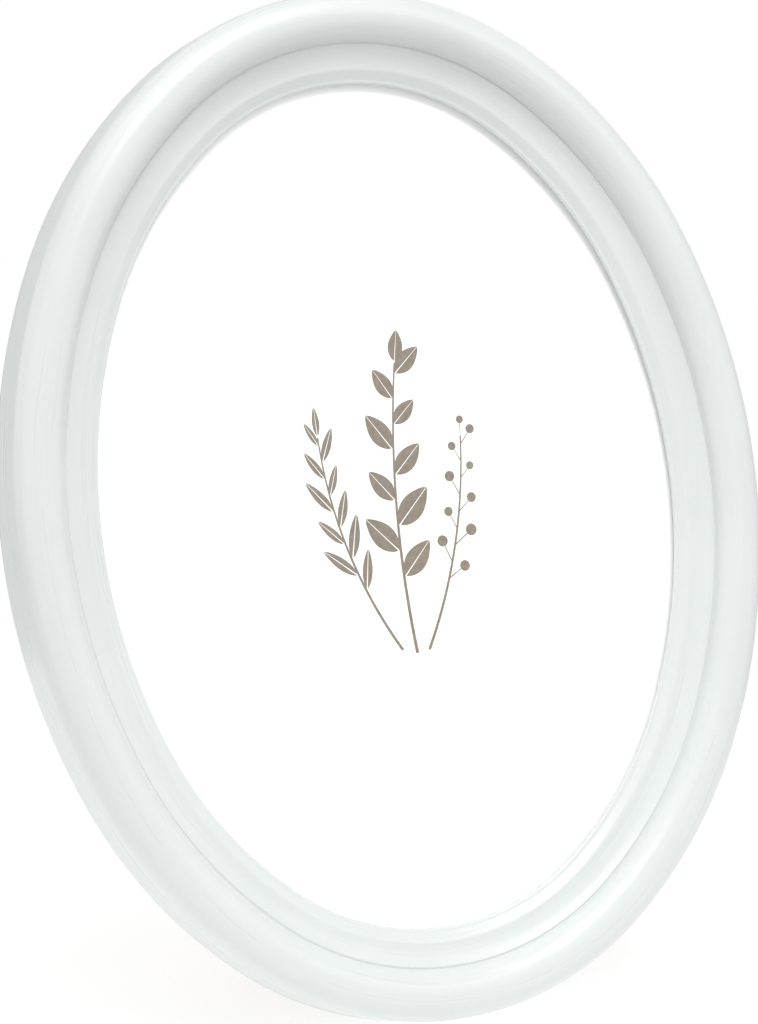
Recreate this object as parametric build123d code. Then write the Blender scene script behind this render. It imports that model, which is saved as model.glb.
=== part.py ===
from build123d import *
import math
import os

# Oval white wooden picture frame that stands on a folding easel strut.
# Everything is drawn upright first: X to the viewer's right, Z up, Y to the back, with the
# frame's back face on Y = 0 and the middle of the oval on X = Z = 0. At the end the whole
# frame is leant back until it stands on its bottom edge and on the foot of the strut.
# All sizes are in millimetres and degrees.

# The picture and the stack that fills the rebate behind the moulding
picture_width = 150.0
picture_height = 200.0
glass_thickness = 1.2
print_thickness = 0.25
card_thickness = 4.25
board_thickness = 3.0
stack_clearance = 0.5      # between the edge of the stack and the rebate, all round
lip_overlap = 4.5          # how far the lip covers the edge of the picture

# The oval: eight tangent arcs that follow an ellipse
side_easing = 0.96         # side radius beside the ellipse's own radius there
side_arc_end = 24.0        # direction of the normal where the side arc ends
end_arc_start = 52.0       # direction of the normal where the end arc starts
joint_direction = 45.0     # direction of the glued joints between the wooden segments

# The moulding, from the sight edge outwards
lip_wall = 1.2             # thickness of the lip in front of the glass
lip_radius = 0.8           # rounded nose of the lip
lip_width = 1.2
step_width = 1.8
step_height = 1.1
cove_width = 5.5
cove_rise = 1.7
groove_width = 0.3
groove_depth = 0.15
bead_radius = 5.85         # the large half-round
crest_height = 7.6         # top of the half-round above the front of the lip
back_edge_radius = 1.5

# Loose tenons in the glued joints
tenon_length = 16.0
tenon_width = 8.0
tenon_thickness = 3.0
tenon_clearance = 0.1
tenon_depth = 6.0          # middle of the tenon, in front of the back face

# Turn buttons and their screws
button_direction = 30.0    # direction of the normal where each button sits
button_length = 16.0       # from the screw to the tip
button_width = 8.0
button_tip_width = 6.0
button_thickness = 1.2
button_play = 0.1          # under the button and under the screw head
screw_radius = 1.5
screw_length = 9.0         # in the wood
screw_tip = 1.5
screw_head_radius = 3.0
screw_head_height = 1.6
screw_slot_width = 0.8
screw_slot_depth = 0.8
turning_clearance = 0.05   # between a shaft and what turns on it

# Rivets
rivet_radius = 1.5
rivet_head_radius = 2.8
rivet_head_height = 0.8
rivet_clearance = 0.05

# Strut and its hinge
lean = 15.5                # how far the frame leans back
strut_spread = 22.0        # between the open strut and the back of the frame
hinge_height = 30.0        # pin above the middle of the oval
hinge_width = 26.0
hinge_middle = 10.4        # length of the strut's knuckle
knuckle_gap = 0.3
leaf_thickness = 0.8
leaf_length = 15.0
leaf_corner = 2.5
pin_head_rim = 0.55        # how far the pin's heads stand out beyond its shank
pin_head_length = 0.6
strut_thickness = 2.5
strut_top_width = 29.0
strut_foot_width = 32.0
strut_top_gap = 0.8        # between the knuckles and the top edge of the strut
strut_corner = 3.0
fold_gap = 1.5             # between the board and the strut when it is folded flat
hinge_rivet_spacing = 14.0
hinge_rivet_drop = 8.5     # from the pin to the rivets

# Stay ribbon and its staples
ribbon_width = 11.0
ribbon_thickness = 0.3
ribbon_reach = 85.0        # from the pin to where the ribbon leaves board and strut
ribbon_tab = 9.0
staple_width = 6.0
staple_wire = 0.5
staple_leg = 1.8

# Keyhole hanging plate on the board
hanger_height = 70.0       # middle of the round hole above the middle of the oval
hanger_below = 7.0         # plate below the middle of the hole
hanger_above = 12.0        # plate above the middle of the hole
hanger_thickness = 1.0
hanger_span = 17.0         # outer width of the raised middle
hanger_flange = 8.0
hanger_corner = 2.5
hanger_raise = 2.4         # room for a screw head behind the plate
keyhole_radius = 4.0
keyhole_slot = 4.2
keyhole_rise = 7.5         # from the middle of the hole to the middle of the slot's end

# Sizes that follow from the ones above
sight_half_width = picture_width / 2 - lip_overlap
sight_half_height = picture_height / 2 - lip_overlap
rebate_offset = lip_overlap + stack_clearance
rebate_depth = glass_thickness + print_thickness + card_thickness + board_thickness
lip_front = rebate_depth + lip_wall
step_end = lip_width + step_width
cove_end = step_end + cove_width
bead_start = cove_end + groove_width
moulding_width = bead_start + 2 * bead_radius
moulding_depth = lip_front + crest_height
bead_middle_offset = bead_start + bead_radius
bead_middle = moulding_depth - bead_radius
back_middle = (rebate_offset + moulding_width) / 2
knuckle_radius = (fold_gap + strut_thickness + leaf_thickness) / 2
pin_radius = knuckle_radius - leaf_thickness - turning_clearance
pin_y = knuckle_radius


def unit(direction):
    """Unit vector in X and Z for a direction turned from +X towards +Z."""
    turn = math.radians(direction)
    return Vector(math.cos(turn), 0, math.sin(turn))


def quarter_radii():
    """Radii of the side, shoulder and end arcs, which meet with no corner."""
    side = side_easing * sight_half_height**2 / sight_half_width
    first = unit(side_arc_end)
    last = unit(end_arc_start)
    across = side - sight_half_width - side * first.X
    up = sight_half_height - side * first.Z
    determinant = (last.X - first.X) * (1 - last.Z) + last.X * (last.Z - first.Z)
    shoulder = (across * (1 - last.Z) + last.X * up) / determinant
    end = ((last.X - first.X) * up - (last.Z - first.Z) * across) / determinant
    return side, shoulder, end


def oval_arcs():
    """The eight arcs of the sight edge, each as its centre, radius, first and last direction."""
    side, shoulder, end = quarter_radii()
    side_centre = Vector(sight_half_width - side, 0, 0)
    shoulder_centre = side_centre + unit(side_arc_end) * (side - shoulder)
    end_height = sight_half_height - end
    x = shoulder_centre.X
    z = shoulder_centre.Z
    return [
        (side_centre, side, -side_arc_end, side_arc_end),
        (Vector(x, 0, z), shoulder, side_arc_end, end_arc_start),
        (Vector(0, 0, end_height), end, end_arc_start, 180 - end_arc_start),
        (Vector(-x, 0, z), shoulder, 180 - end_arc_start, 180 - side_arc_end),
        (-side_centre, side, 180 - side_arc_end, 180 + side_arc_end),
        (Vector(-x, 0, -z), shoulder, 180 + side_arc_end, 180 + end_arc_start),
        (Vector(0, 0, -end_height), end, 180 + end_arc_start, 360 - end_arc_start),
        (Vector(x, 0, -z), shoulder, 360 - end_arc_start, 360 - side_arc_end),
    ]


def on_oval(direction, offset):
    """Point on the back face, an offset outside the sight edge, where the normal has this direction."""
    turn = (direction + side_arc_end) % 360 - side_arc_end
    for centre, radius, first, last in oval_arcs():
        if first <= turn <= last:
            return centre + unit(turn) * (radius + offset)
    raise ValueError("no arc has this direction")


def oval_face(offset):
    """The oval an offset outside the sight edge, as a flat face."""
    edges = []
    for centre, radius, first, last in oval_arcs():
        edges.append(CenterArc((centre.X, centre.Z), radius + offset, first, last - first))
    return make_face(edges)


def slab(face, front, back):
    """A face drawn in X and Z, made solid from the front Y to the back Y."""
    return extrude(Plane.XZ.offset(-back) * face, amount=back - front, dir=(0, -1, 0))


def rod(x, z, radius, front, back):
    """Round bar along Y."""
    return slab(Pos(x, z) * Circle(radius), front, back)


def bar(x, y, z, size_x, size_y, size_z):
    """Box with its middle at a point."""
    return Pos(x, y, z) * Box(size_x, size_y, size_z)


def strip_outline(points, thickness):
    """Face of a bent strip whose one side runs along the points; the strip lies to their left."""
    directions = []
    for start, finish in zip(points, points[1:]):
        directions.append((finish - start).normalized())
    left = [Vector(-d.Y, d.X) for d in directions]
    other = [points[0] + left[0] * thickness]
    for before, after, corner in zip(left, left[1:], points[1:-1]):
        middle = (before + after).normalized()
        other.append(corner + middle * (thickness / middle.dot(before)))
    other.append(points[-1] + left[-1] * thickness)
    return make_face(Polyline(*points, *reversed(other), close=True))


def moulding_section():
    """Section of the moulding: across from the sight edge, up from the back face."""
    step_top = lip_front + step_height
    cove_top = step_top + cove_rise
    groove_floor = cove_top - groove_depth
    floor_end = bead_middle_offset - math.sqrt(bead_radius**2 - (groove_floor - bead_middle) ** 2)
    nose_middle = lip_radius * (1 - math.sqrt(0.5))
    edge_middle = back_edge_radius * (1 - math.sqrt(0.5))
    outline = [
        Polyline(
            (moulding_width - back_edge_radius, 0),
            (rebate_offset, 0),
            (rebate_offset, rebate_depth),
            (0, rebate_depth),
            (0, lip_front - lip_radius),
        ),
        ThreePointArc(
            (0, lip_front - lip_radius),
            (nose_middle, lip_front - nose_middle),
            (lip_radius, lip_front),
        ),
        Polyline((lip_radius, lip_front), (lip_width, lip_front), (step_end, step_top)),
        TangentArc((step_end, step_top), (cove_end, cove_top), tangent=(1, 0)),
        Polyline((cove_end, cove_top), (cove_end, groove_floor), (floor_end, groove_floor)),
        ThreePointArc(
            (floor_end, groove_floor),
            (bead_middle_offset, moulding_depth),
            (moulding_width, bead_middle),
        ),
        Line((moulding_width, bead_middle), (moulding_width, back_edge_radius)),
        ThreePointArc(
            (moulding_width, back_edge_radius),
            (moulding_width - edge_middle, edge_middle),
            (moulding_width - back_edge_radius, 0),
        ),
    ]
    return make_face(outline)


def joint_plane(direction, offset, depth):
    """Plane across the moulding: X outwards, Y to the front, at a depth before the back face."""
    out = unit(direction)
    place = on_oval(direction, offset) + Vector(0, -depth, 0)
    return Plane(place, x_dir=out, z_dir=out.cross(Vector(0, -1, 0)))


def moulding_run(first, last):
    """Moulding between two directions, one turned piece for each arc that it crosses."""
    run = None
    for lap in (0, 360):
        for centre, radius, arc_first, arc_last in oval_arcs():
            start = max(first, arc_first + lap)
            finish = min(last, arc_last + lap)
            if finish - start <= 0:
                continue
            section = joint_plane(start, 0, 0) * moulding_section()
            piece = revolve(section, Axis(centre, (0, -1, 0)), finish - start)
            run = piece if run is None else run + piece
    return run


def joint_directions():
    """Directions of the four glued joints."""
    return [joint_direction, 180 - joint_direction, 180 + joint_direction, 360 - joint_direction]


def tenon(direction, clearance):
    """Loose tenon across one glued joint, larger by a clearance for its mortise."""
    plane = joint_plane(direction, back_middle, tenon_depth)
    extra = 2 * clearance
    return plane * Box(tenon_width + extra, tenon_thickness + extra, tenon_length + extra)


def screw_places():
    """The four turn buttons: name, direction of the normal and place of the screw."""
    corners = {
        "upper_right": button_direction,
        "upper_left": 180 - button_direction,
        "lower_left": 180 + button_direction,
        "lower_right": 360 - button_direction,
    }
    return {name: (turn, on_oval(turn, back_middle)) for name, turn in corners.items()}


def frame_segments():
    """The four wooden segments, with mortises for the tenons and pilot holes for the screws."""
    a, b, c, d = joint_directions()
    runs = {
        "frame_top": (a, b),
        "frame_left": (b, c),
        "frame_bottom": (c, d),
        "frame_right": (d, a + 360),
    }
    hole_radius = screw_radius + turning_clearance
    hole_end = -screw_length - turning_clearance
    segments = {}
    for name, (first, last) in runs.items():
        segment = moulding_run(first, last)
        for direction in (first, last):
            segment -= tenon(direction % 360, tenon_clearance)
        for turn, place in screw_places().values():
            if first < turn < last or first < turn + 360 < last:
                segment -= rod(place.X, place.Z, hole_radius, hole_end, 0)
        segments[name] = segment
    return segments


def turned(outline, x, z):
    """Solid turned about a Y line from an outline of radius and Y."""
    face = Plane.XY * make_face(outline)
    return Pos(x, 0, z) * revolve(face, Axis.Y)


def dome(radius, height, base):
    """Half outline of a domed head that stands on a base, from the rim to the top."""
    return TangentArc((0, base + height), (radius, base), tangent=(1, 0))


def button_screw(x, z):
    """Domed wood screw with a slotted head, which holds one turn button."""
    seat = 2 * button_play + button_thickness
    outline = [
        dome(screw_head_radius, screw_head_height, seat),
        Polyline(
            (screw_head_radius, seat),
            (screw_radius, seat),
            (screw_radius, screw_tip - screw_length),
            (0, -screw_length),
            (0, seat + screw_head_height),
        ),
    ]
    slot_length = 3 * screw_head_radius
    slot_middle = seat + screw_head_height
    slot = bar(x, slot_middle, z, slot_length, 2 * screw_slot_depth, screw_slot_width)
    return turned(outline, x, z) - slot


def turn_button(direction, place):
    """Flat tapered button that points from its screw towards the middle of the frame."""
    half = button_width / 2
    half_tip = button_tip_width / 2
    blade = Polyline(
        (0, half),
        (-button_length + half_tip, half_tip),
        (-button_length + half_tip, -half_tip),
        (0, -half),
        close=True,
    )
    face = make_face(blade) + Circle(half) + Pos(-button_length + half_tip, 0) * Circle(half_tip)
    face -= Circle(screw_radius + turning_clearance)
    face = Pos(place.X, place.Z) * Rot(0, 0, direction) * face
    return slab(face, button_play, button_play + button_thickness)


def rivet(x, z, front, back):
    """Rivet through a stack: a flat head sunk in the front face, a domed head on the back face."""
    sunk = front + rivet_head_height
    outline = [
        dome(rivet_head_radius, rivet_head_height, back),
        Polyline(
            (rivet_head_radius, back),
            (rivet_radius, back),
            (rivet_radius, sunk),
            (rivet_head_radius, sunk),
            (rivet_head_radius, front),
            (0, front),
            (0, back + rivet_head_height),
        ),
    ]
    return turned(outline, x, z)


def rivet_hole(x, z, front, back):
    """Hole for a rivet, with the seat of its sunk head."""
    seat_end = front + rivet_head_height
    seat = rod(x, z, rivet_head_radius + rivet_clearance, front - rivet_clearance, seat_end)
    return seat + rod(x, z, rivet_radius + rivet_clearance, front, back + rivet_clearance)


def knuckle(x, length):
    """Curled knuckle round the hinge pin, along X."""
    outer = Pos(x, pin_y, hinge_height) * Rot(0, 90, 0) * Cylinder(knuckle_radius, length)
    bore = Rot(0, 90, 0) * Cylinder(pin_radius + turning_clearance, length)
    return outer - Pos(x, pin_y, hinge_height) * bore


def outer_knuckle_length():
    """Length of each of the two knuckles on the board's leaf."""
    return (hinge_width - hinge_middle - 2 * knuckle_gap) / 2


def hinge_leaf(up, y_middle):
    """Flat leaf, upwards or downwards from the pin, before its knuckles are added."""
    middle = hinge_height + up * leaf_length / 2
    leaf = bar(0, y_middle, middle, hinge_width, leaf_thickness, leaf_length)
    far_corners = leaf.edges().filter_by(Axis.Y).sort_by(Axis((0, 0, 0), (0, 0, up)))[-2:]
    leaf = fillet(far_corners, leaf_corner)
    bore = Pos(0, pin_y, hinge_height) * Rot(0, 90, 0) * Cylinder(knuckle_radius, hinge_width)
    return leaf - bore


def hinge_rivet_places(up):
    """Places of the two rivets in one leaf."""
    z = hinge_height + up * hinge_rivet_drop
    return [(-hinge_rivet_spacing / 2, z), (hinge_rivet_spacing / 2, z)]


def board_leaf():
    """Leaf on the backing board, with a knuckle at each end of the pin."""
    leaf = hinge_leaf(1, leaf_thickness / 2)
    clear = knuckle_radius + knuckle_gap
    gap = hinge_middle + 2 * knuckle_gap
    leaf -= bar(0, pin_y, hinge_height, gap, 2 * clear, 2 * clear)
    length = outer_knuckle_length()
    for side in (-1, 1):
        leaf += knuckle(side * (hinge_width - length) / 2, length)
    for x, z in hinge_rivet_places(1):
        leaf -= rivet_hole(x, z, -board_thickness, leaf_thickness)
    return leaf


def strut_leaf():
    """Leaf on the back of the strut, with the middle knuckle, drawn folded flat."""
    leaf = hinge_leaf(-1, 2 * knuckle_radius - leaf_thickness / 2)
    clear = knuckle_radius + knuckle_gap
    length = outer_knuckle_length() + knuckle_gap
    for side in (-1, 1):
        x = side * (hinge_width - length) / 2
        leaf -= bar(x, pin_y, hinge_height, length, 2 * clear, 2 * clear)
    leaf += knuckle(0, hinge_middle)
    for x, z in hinge_rivet_places(-1):
        leaf -= rivet_hole(x, z, fold_gap, 2 * knuckle_radius)
    return leaf


def hinge_pin():
    """Pin through the knuckles, with a head at each end."""
    pin = Cylinder(pin_radius, hinge_width)
    for side in (-1, 1):
        middle = side * (hinge_width + pin_head_length) / 2
        pin += Pos(0, 0, middle) * Cylinder(pin_radius + pin_head_rim, pin_head_length)
    return Pos(0, pin_y, hinge_height) * Rot(0, 90, 0) * pin


def opened(shape):
    """Turns a strut piece that is drawn folded flat to its open place."""
    pin = Pos(0, pin_y, hinge_height)
    return pin * Rot(strut_spread, 0, 0) * pin.inverse() * shape


def leant(shape):
    """Leans the upright frame back."""
    return Rot(-lean, 0, 0) * shape


def floor_level():
    """Height of the floor once the frame is leant back about the middle of its back face."""
    edge_y = -back_edge_radius
    edge_z = back_edge_radius - sight_half_height - moulding_width
    turn = math.radians(lean)
    return edge_z * math.cos(turn) - edge_y * math.sin(turn) - back_edge_radius


def below_floor():
    """Everything under the floor, in the upright frame's own directions."""
    size = 4 * (sight_half_height + moulding_width)
    return leant(Pos(0, 0, 0)).inverse() * bar(0, 0, floor_level() - size / 2, size, size, size)


def strut_leg():
    """Leg of the easel, wider at its foot, which is cut to stand flat on the floor."""
    top = hinge_height - knuckle_radius - strut_top_gap
    drop = (hinge_height - floor_level()) / math.cos(math.radians(strut_spread - lean))
    outline = Polyline(
        (-strut_top_width / 2, top),
        (strut_top_width / 2, top),
        (strut_foot_width / 2, hinge_height - drop),
        (-strut_foot_width / 2, hinge_height - drop),
        close=True,
    )
    face = make_face(outline)
    face = fillet(face.vertices().sort_by(Axis.Y)[-2:], strut_corner)
    leg = slab(face, fold_gap, fold_gap + strut_thickness)
    for x, z in hinge_rivet_places(-1):
        leg -= rivet_hole(x, z, fold_gap, 2 * knuckle_radius)
    return opened(leg) - below_floor()


def staple(z, front):
    """Staple with its crown across the ribbon, legs forwards, drawn with the ribbon's back at front."""
    crown = bar(0, front + staple_wire / 2, z, staple_width, staple_wire, staple_wire)
    for side in (-1, 1):
        x = side * (staple_width - staple_wire) / 2
        length = ribbon_thickness + staple_leg
        crown += bar(x, front - length / 2, z, staple_wire, length, staple_wire)
    return crown


def board_staple():
    """Staple that holds the ribbon on the backing board."""
    return staple(hinge_height - ribbon_reach + ribbon_tab / 2, ribbon_thickness)


def strut_staple():
    """Staple that holds the ribbon on the front of the strut, drawn with the strut folded flat."""
    z = hinge_height - ribbon_reach - ribbon_tab / 2
    upright = staple(z, ribbon_thickness)
    return Pos(0, fold_gap, 0) * Pos(0, 0, z) * Rot(180, 0, 0) * Pos(0, 0, -z) * upright


def stay_ribbon():
    """Ribbon from the board to the open strut, with a tab stapled flat to each."""
    bend = hinge_height - ribbon_reach
    strut_side = fold_gap - ribbon_thickness
    corners = [
        Pos(0, 0, bend + ribbon_tab),
        Pos(0, 0, bend),
        opened(Pos(0, strut_side, bend)),
        opened(Pos(0, strut_side, bend - ribbon_tab)),
    ]
    points = [Vector(place.position.Y, place.position.Z) for place in corners]
    face = Plane.YZ.offset(-ribbon_width / 2) * strip_outline(points, ribbon_thickness)
    ribbon = extrude(face, amount=ribbon_width, dir=(1, 0, 0))
    return ribbon - board_staple() - opened(strut_staple())


def hanger_rivet_places():
    """Places of the two rivets in the hanging plate."""
    x = (hanger_span + hanger_flange) / 2
    z = hanger_height + (hanger_above - hanger_below) / 2
    return [(-x, z), (x, z)]


def hanger_plate():
    """Pressed hanging plate: two flanges on the board and a raised middle with a keyhole."""
    half_span = hanger_span / 2
    half_width = half_span + hanger_flange
    corners = [
        Vector(-half_width, 0),
        Vector(-half_span + hanger_thickness, 0),
        Vector(-half_span + hanger_thickness, hanger_raise),
        Vector(half_span - hanger_thickness, hanger_raise),
        Vector(half_span - hanger_thickness, 0),
        Vector(half_width, 0),
    ]
    plate_height = hanger_below + hanger_above
    section = Plane.XY.offset(hanger_height - hanger_below) * strip_outline(corners, hanger_thickness)
    plate = extrude(section, amount=plate_height, dir=(0, 0, 1))
    across = plate.edges().filter_by(Axis.Y).sort_by(Axis.X)
    plate = fillet(across[:2] + across[-2:], hanger_corner)
    top = hanger_raise + hanger_thickness
    plate -= rod(0, hanger_height, keyhole_radius, hanger_raise, top)
    plate -= rod(0, hanger_height + keyhole_rise, keyhole_slot / 2, hanger_raise, top)
    middle = hanger_height + keyhole_rise / 2
    plate -= bar(0, hanger_raise + hanger_thickness / 2, middle, keyhole_slot, hanger_thickness, keyhole_rise)
    for x, z in hanger_rivet_places():
        plate -= rivet_hole(x, z, -board_thickness, hanger_thickness)
    return plate


def backing_board():
    """Board that closes the back, flush with the frame, with holes for the rivets and the staple."""
    board = slab(oval_face(lip_overlap), -board_thickness, 0)
    for x, z in hinge_rivet_places(1):
        board -= rivet_hole(x, z, -board_thickness, leaf_thickness)
    for x, z in hanger_rivet_places():
        board -= rivet_hole(x, z, -board_thickness, hanger_thickness)
    return board - board_staple()


def group(shapes):
    """Separate solids kept together, as for like pieces that share one node."""
    return Compound([solid for shape in shapes for solid in shape.solids()])


def upright_pieces():
    """Every piece of the frame in the upright frame's own directions."""
    picture = oval_face(lip_overlap)
    glass_back = glass_thickness - rebate_depth
    print_back = glass_back + print_thickness
    card_back = print_back + card_thickness
    pieces = frame_segments()
    pieces["joint_tenons"] = group(tenon(turn, 0) for turn in joint_directions())
    pieces["glass_pane"] = slab(picture, -rebate_depth, glass_back)
    pieces["picture_print"] = slab(picture, glass_back, print_back)
    pieces["filler_card"] = slab(picture, print_back, card_back)
    pieces["backing_board"] = backing_board()
    for name, (turn, place) in screw_places().items():
        pieces["turn_button_" + name] = turn_button(turn, place)
    pieces["turn_button_screws"] = group(button_screw(p.X, p.Z) for _, p in screw_places().values())
    pieces["hinge_board_leaf"] = board_leaf()
    pieces["hinge_board_rivets"] = group(
        rivet(x, z, -board_thickness, leaf_thickness) for x, z in hinge_rivet_places(1)
    )
    pieces["hinge_pin"] = hinge_pin()
    pieces["strut_leg"] = strut_leg() - opened(strut_staple())
    pieces["hinge_strut_leaf"] = opened(strut_leaf())
    pieces["hinge_strut_rivets"] = group(
        opened(rivet(x, z, fold_gap, 2 * knuckle_radius)) for x, z in hinge_rivet_places(-1)
    )
    pieces["stay_ribbon"] = stay_ribbon()
    pieces["ribbon_board_staple"] = board_staple()
    pieces["ribbon_strut_staple"] = opened(strut_staple())
    pieces["hanger_plate"] = hanger_plate()
    pieces["hanger_rivets"] = group(
        rivet(x, z, -board_thickness, hanger_thickness) for x, z in hanger_rivet_places()
    )
    return pieces


def standing_place(pieces):
    """Location that leans the frame back and sets the middle of its box over the origin."""
    box = group(leant(shape) for shape in pieces.values()).bounding_box()
    middle = (box.min + box.max) / 2
    return Pos(-middle.X, -middle.Y, -floor_level()) * Rot(-lean, 0, 0)


def main():
    """Writes one file for each piece of the standing frame."""
    os.makedirs("parts", exist_ok=True)
    pieces = upright_pieces()
    place = standing_place(pieces)
    for name, shape in pieces.items():
        export_step(place * shape, f"parts/{name}.step")
    return place


standing = main()
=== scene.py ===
"""Oval white picture frame on an easel strut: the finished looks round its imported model.

Every piece is drawn upright, in millimetres: X to the viewer's right, Z up, Y to the back, with
the frame's back face on Y = 0 and the middle of the oval on X = Z = 0. The stand then leans it
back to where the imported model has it.
"""
import logging
import math
from dataclasses import dataclass, field
from enum import Enum
from typing import Callable, Sequence

import bpy
from mathutils import Matrix, Vector


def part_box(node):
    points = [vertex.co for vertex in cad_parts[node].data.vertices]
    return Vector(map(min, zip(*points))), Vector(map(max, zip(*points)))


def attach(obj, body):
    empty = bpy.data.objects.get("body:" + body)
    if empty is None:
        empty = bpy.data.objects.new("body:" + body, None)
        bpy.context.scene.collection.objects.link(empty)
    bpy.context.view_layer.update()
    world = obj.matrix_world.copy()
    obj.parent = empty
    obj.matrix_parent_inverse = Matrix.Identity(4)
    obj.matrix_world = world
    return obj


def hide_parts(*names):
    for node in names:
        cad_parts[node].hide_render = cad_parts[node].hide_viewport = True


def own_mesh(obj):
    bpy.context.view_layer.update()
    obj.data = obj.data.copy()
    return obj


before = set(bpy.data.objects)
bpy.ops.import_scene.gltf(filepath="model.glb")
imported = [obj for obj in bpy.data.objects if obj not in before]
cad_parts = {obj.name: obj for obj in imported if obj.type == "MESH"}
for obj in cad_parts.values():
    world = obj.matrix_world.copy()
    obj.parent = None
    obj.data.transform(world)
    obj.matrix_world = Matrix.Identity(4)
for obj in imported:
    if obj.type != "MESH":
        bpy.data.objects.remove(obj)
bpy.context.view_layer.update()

MM = 0.001
IMAGE_HEIGHT = 1024
SENSOR_HEIGHT = 36.0
WHITE = (1.0, 1.0, 1.0)
# Where nearly all of a noise lies between 0 and 1.
MIDDLE = (0.3, 0.7)
# The moulding's own attribute, and the tape's own map.
BRUSH = "brush"
WEAVE = "weave"
CIRCLE_STEPS = 24

Colour = tuple[float, float, float]
Scale = tuple[float, float, float]
Flat = tuple[float, float]
Stops = tuple[tuple[float, Colour], ...]
Piece = bpy.types.Object
Socket = bpy.types.NodeSocket

log = logging.getLogger("oval_frame")


class Body(Enum):
    """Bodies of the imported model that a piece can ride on."""

    FRAME = "frame"
    STRUT = "strut"
    UPPER_RIGHT = "turn_button_upper_right"
    UPPER_LEFT = "turn_button_upper_left"
    LOWER_LEFT = "turn_button_lower_left"
    LOWER_RIGHT = "turn_button_lower_right"


class Slot(Enum):
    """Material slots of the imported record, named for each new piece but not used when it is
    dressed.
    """

    PAINT = "white_paint"
    PAPER = "print_paper"
    FIBREBOARD = "fibreboard"
    STEEL = "zinc_steel"
    TAPE = "ribbon_cloth"


@dataclass(frozen=True)
class Clouds:
    """Cloudy noise: clouds in a metre, number and strength of its finer layers, and its bend."""

    scale: float = 1.0
    detail: float = 2.0
    rough: float = 0.5
    bend: float = 0.0


class Nodes:
    """The nodes of a material or of the room's air, and short ways to add to them."""

    def __init__(self, owner: bpy.types.Material | bpy.types.World) -> None:
        """Opens the nodes.

        Args:
            owner: The material or world.
        """
        owner.use_nodes = True
        self.tree = owner.node_tree

    def add(self, kind: str, values: dict | None = None, **settings: object) -> bpy.types.Node:
        """Adds a node.

        Args:
            kind: Type of the node, without the word that all shader nodes start with.
            values: Values of its input sockets, by name.
            settings: Values of its own properties.

        Returns:
            The new node.
        """
        node = self.tree.nodes.new("ShaderNode" + kind)
        for key, value in settings.items():
            setattr(node, key, value)
        for key, value in (values or {}).items():
            node.inputs[key].default_value = value
        return node

    def link(self, source: Socket, target: Socket) -> None:
        """Joins two sockets."""
        self.tree.links.new(source, target)

    def span(
        self, source: Socket, low: float, high: float, first: float = 0.0, last: float = 1.0,
    ) -> Socket:
        """A value brought from one range to another.

        Args:
            source: Socket that gives the value.
            low: Value at the start of the new range.
            high: Value at its end.
            first: Value at the start of the old range.
            last: Value at its end.

        Returns:
            The socket that gives the new value.
        """
        values = {"From Min": first, "From Max": last, "To Min": low, "To Max": high}
        node = self.add("MapRange", values)
        self.link(source, node.inputs["Value"])
        return node.outputs["Result"]

    def shades(self, factor: Socket, stops: Stops) -> Socket:
        """Colours along a value.

        Args:
            factor: Socket that gives the value.
            stops: Places from 0 to 1, each with its colour.

        Returns:
            The socket that gives the colour.
        """
        node = self.add("ValToRGB")
        ramp = node.color_ramp
        ready = len(ramp.elements)
        for index, (position, colour) in enumerate(stops):
            stop = ramp.elements[index] if index < ready else ramp.elements.new(position)
            stop.position = position
            stop.color = (*colour, 1.0)
        self.link(factor, node.inputs["Fac"])
        return node.outputs["Color"]

    def blend(self, factor: Socket, first: Socket, second: Socket, target: Socket) -> None:
        """Shows two shaders, mixed by a value.

        Args:
            factor: Socket that gives the share of the second.
            first: Socket of the first shader.
            second: Socket of the second shader.
            target: Socket of the output that shows them.
        """
        node = self.add("MixShader")
        self.link(factor, node.inputs["Fac"])
        self.link(first, node.inputs[1])
        self.link(second, node.inputs[2])
        self.link(node.outputs["Shader"], target)


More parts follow.
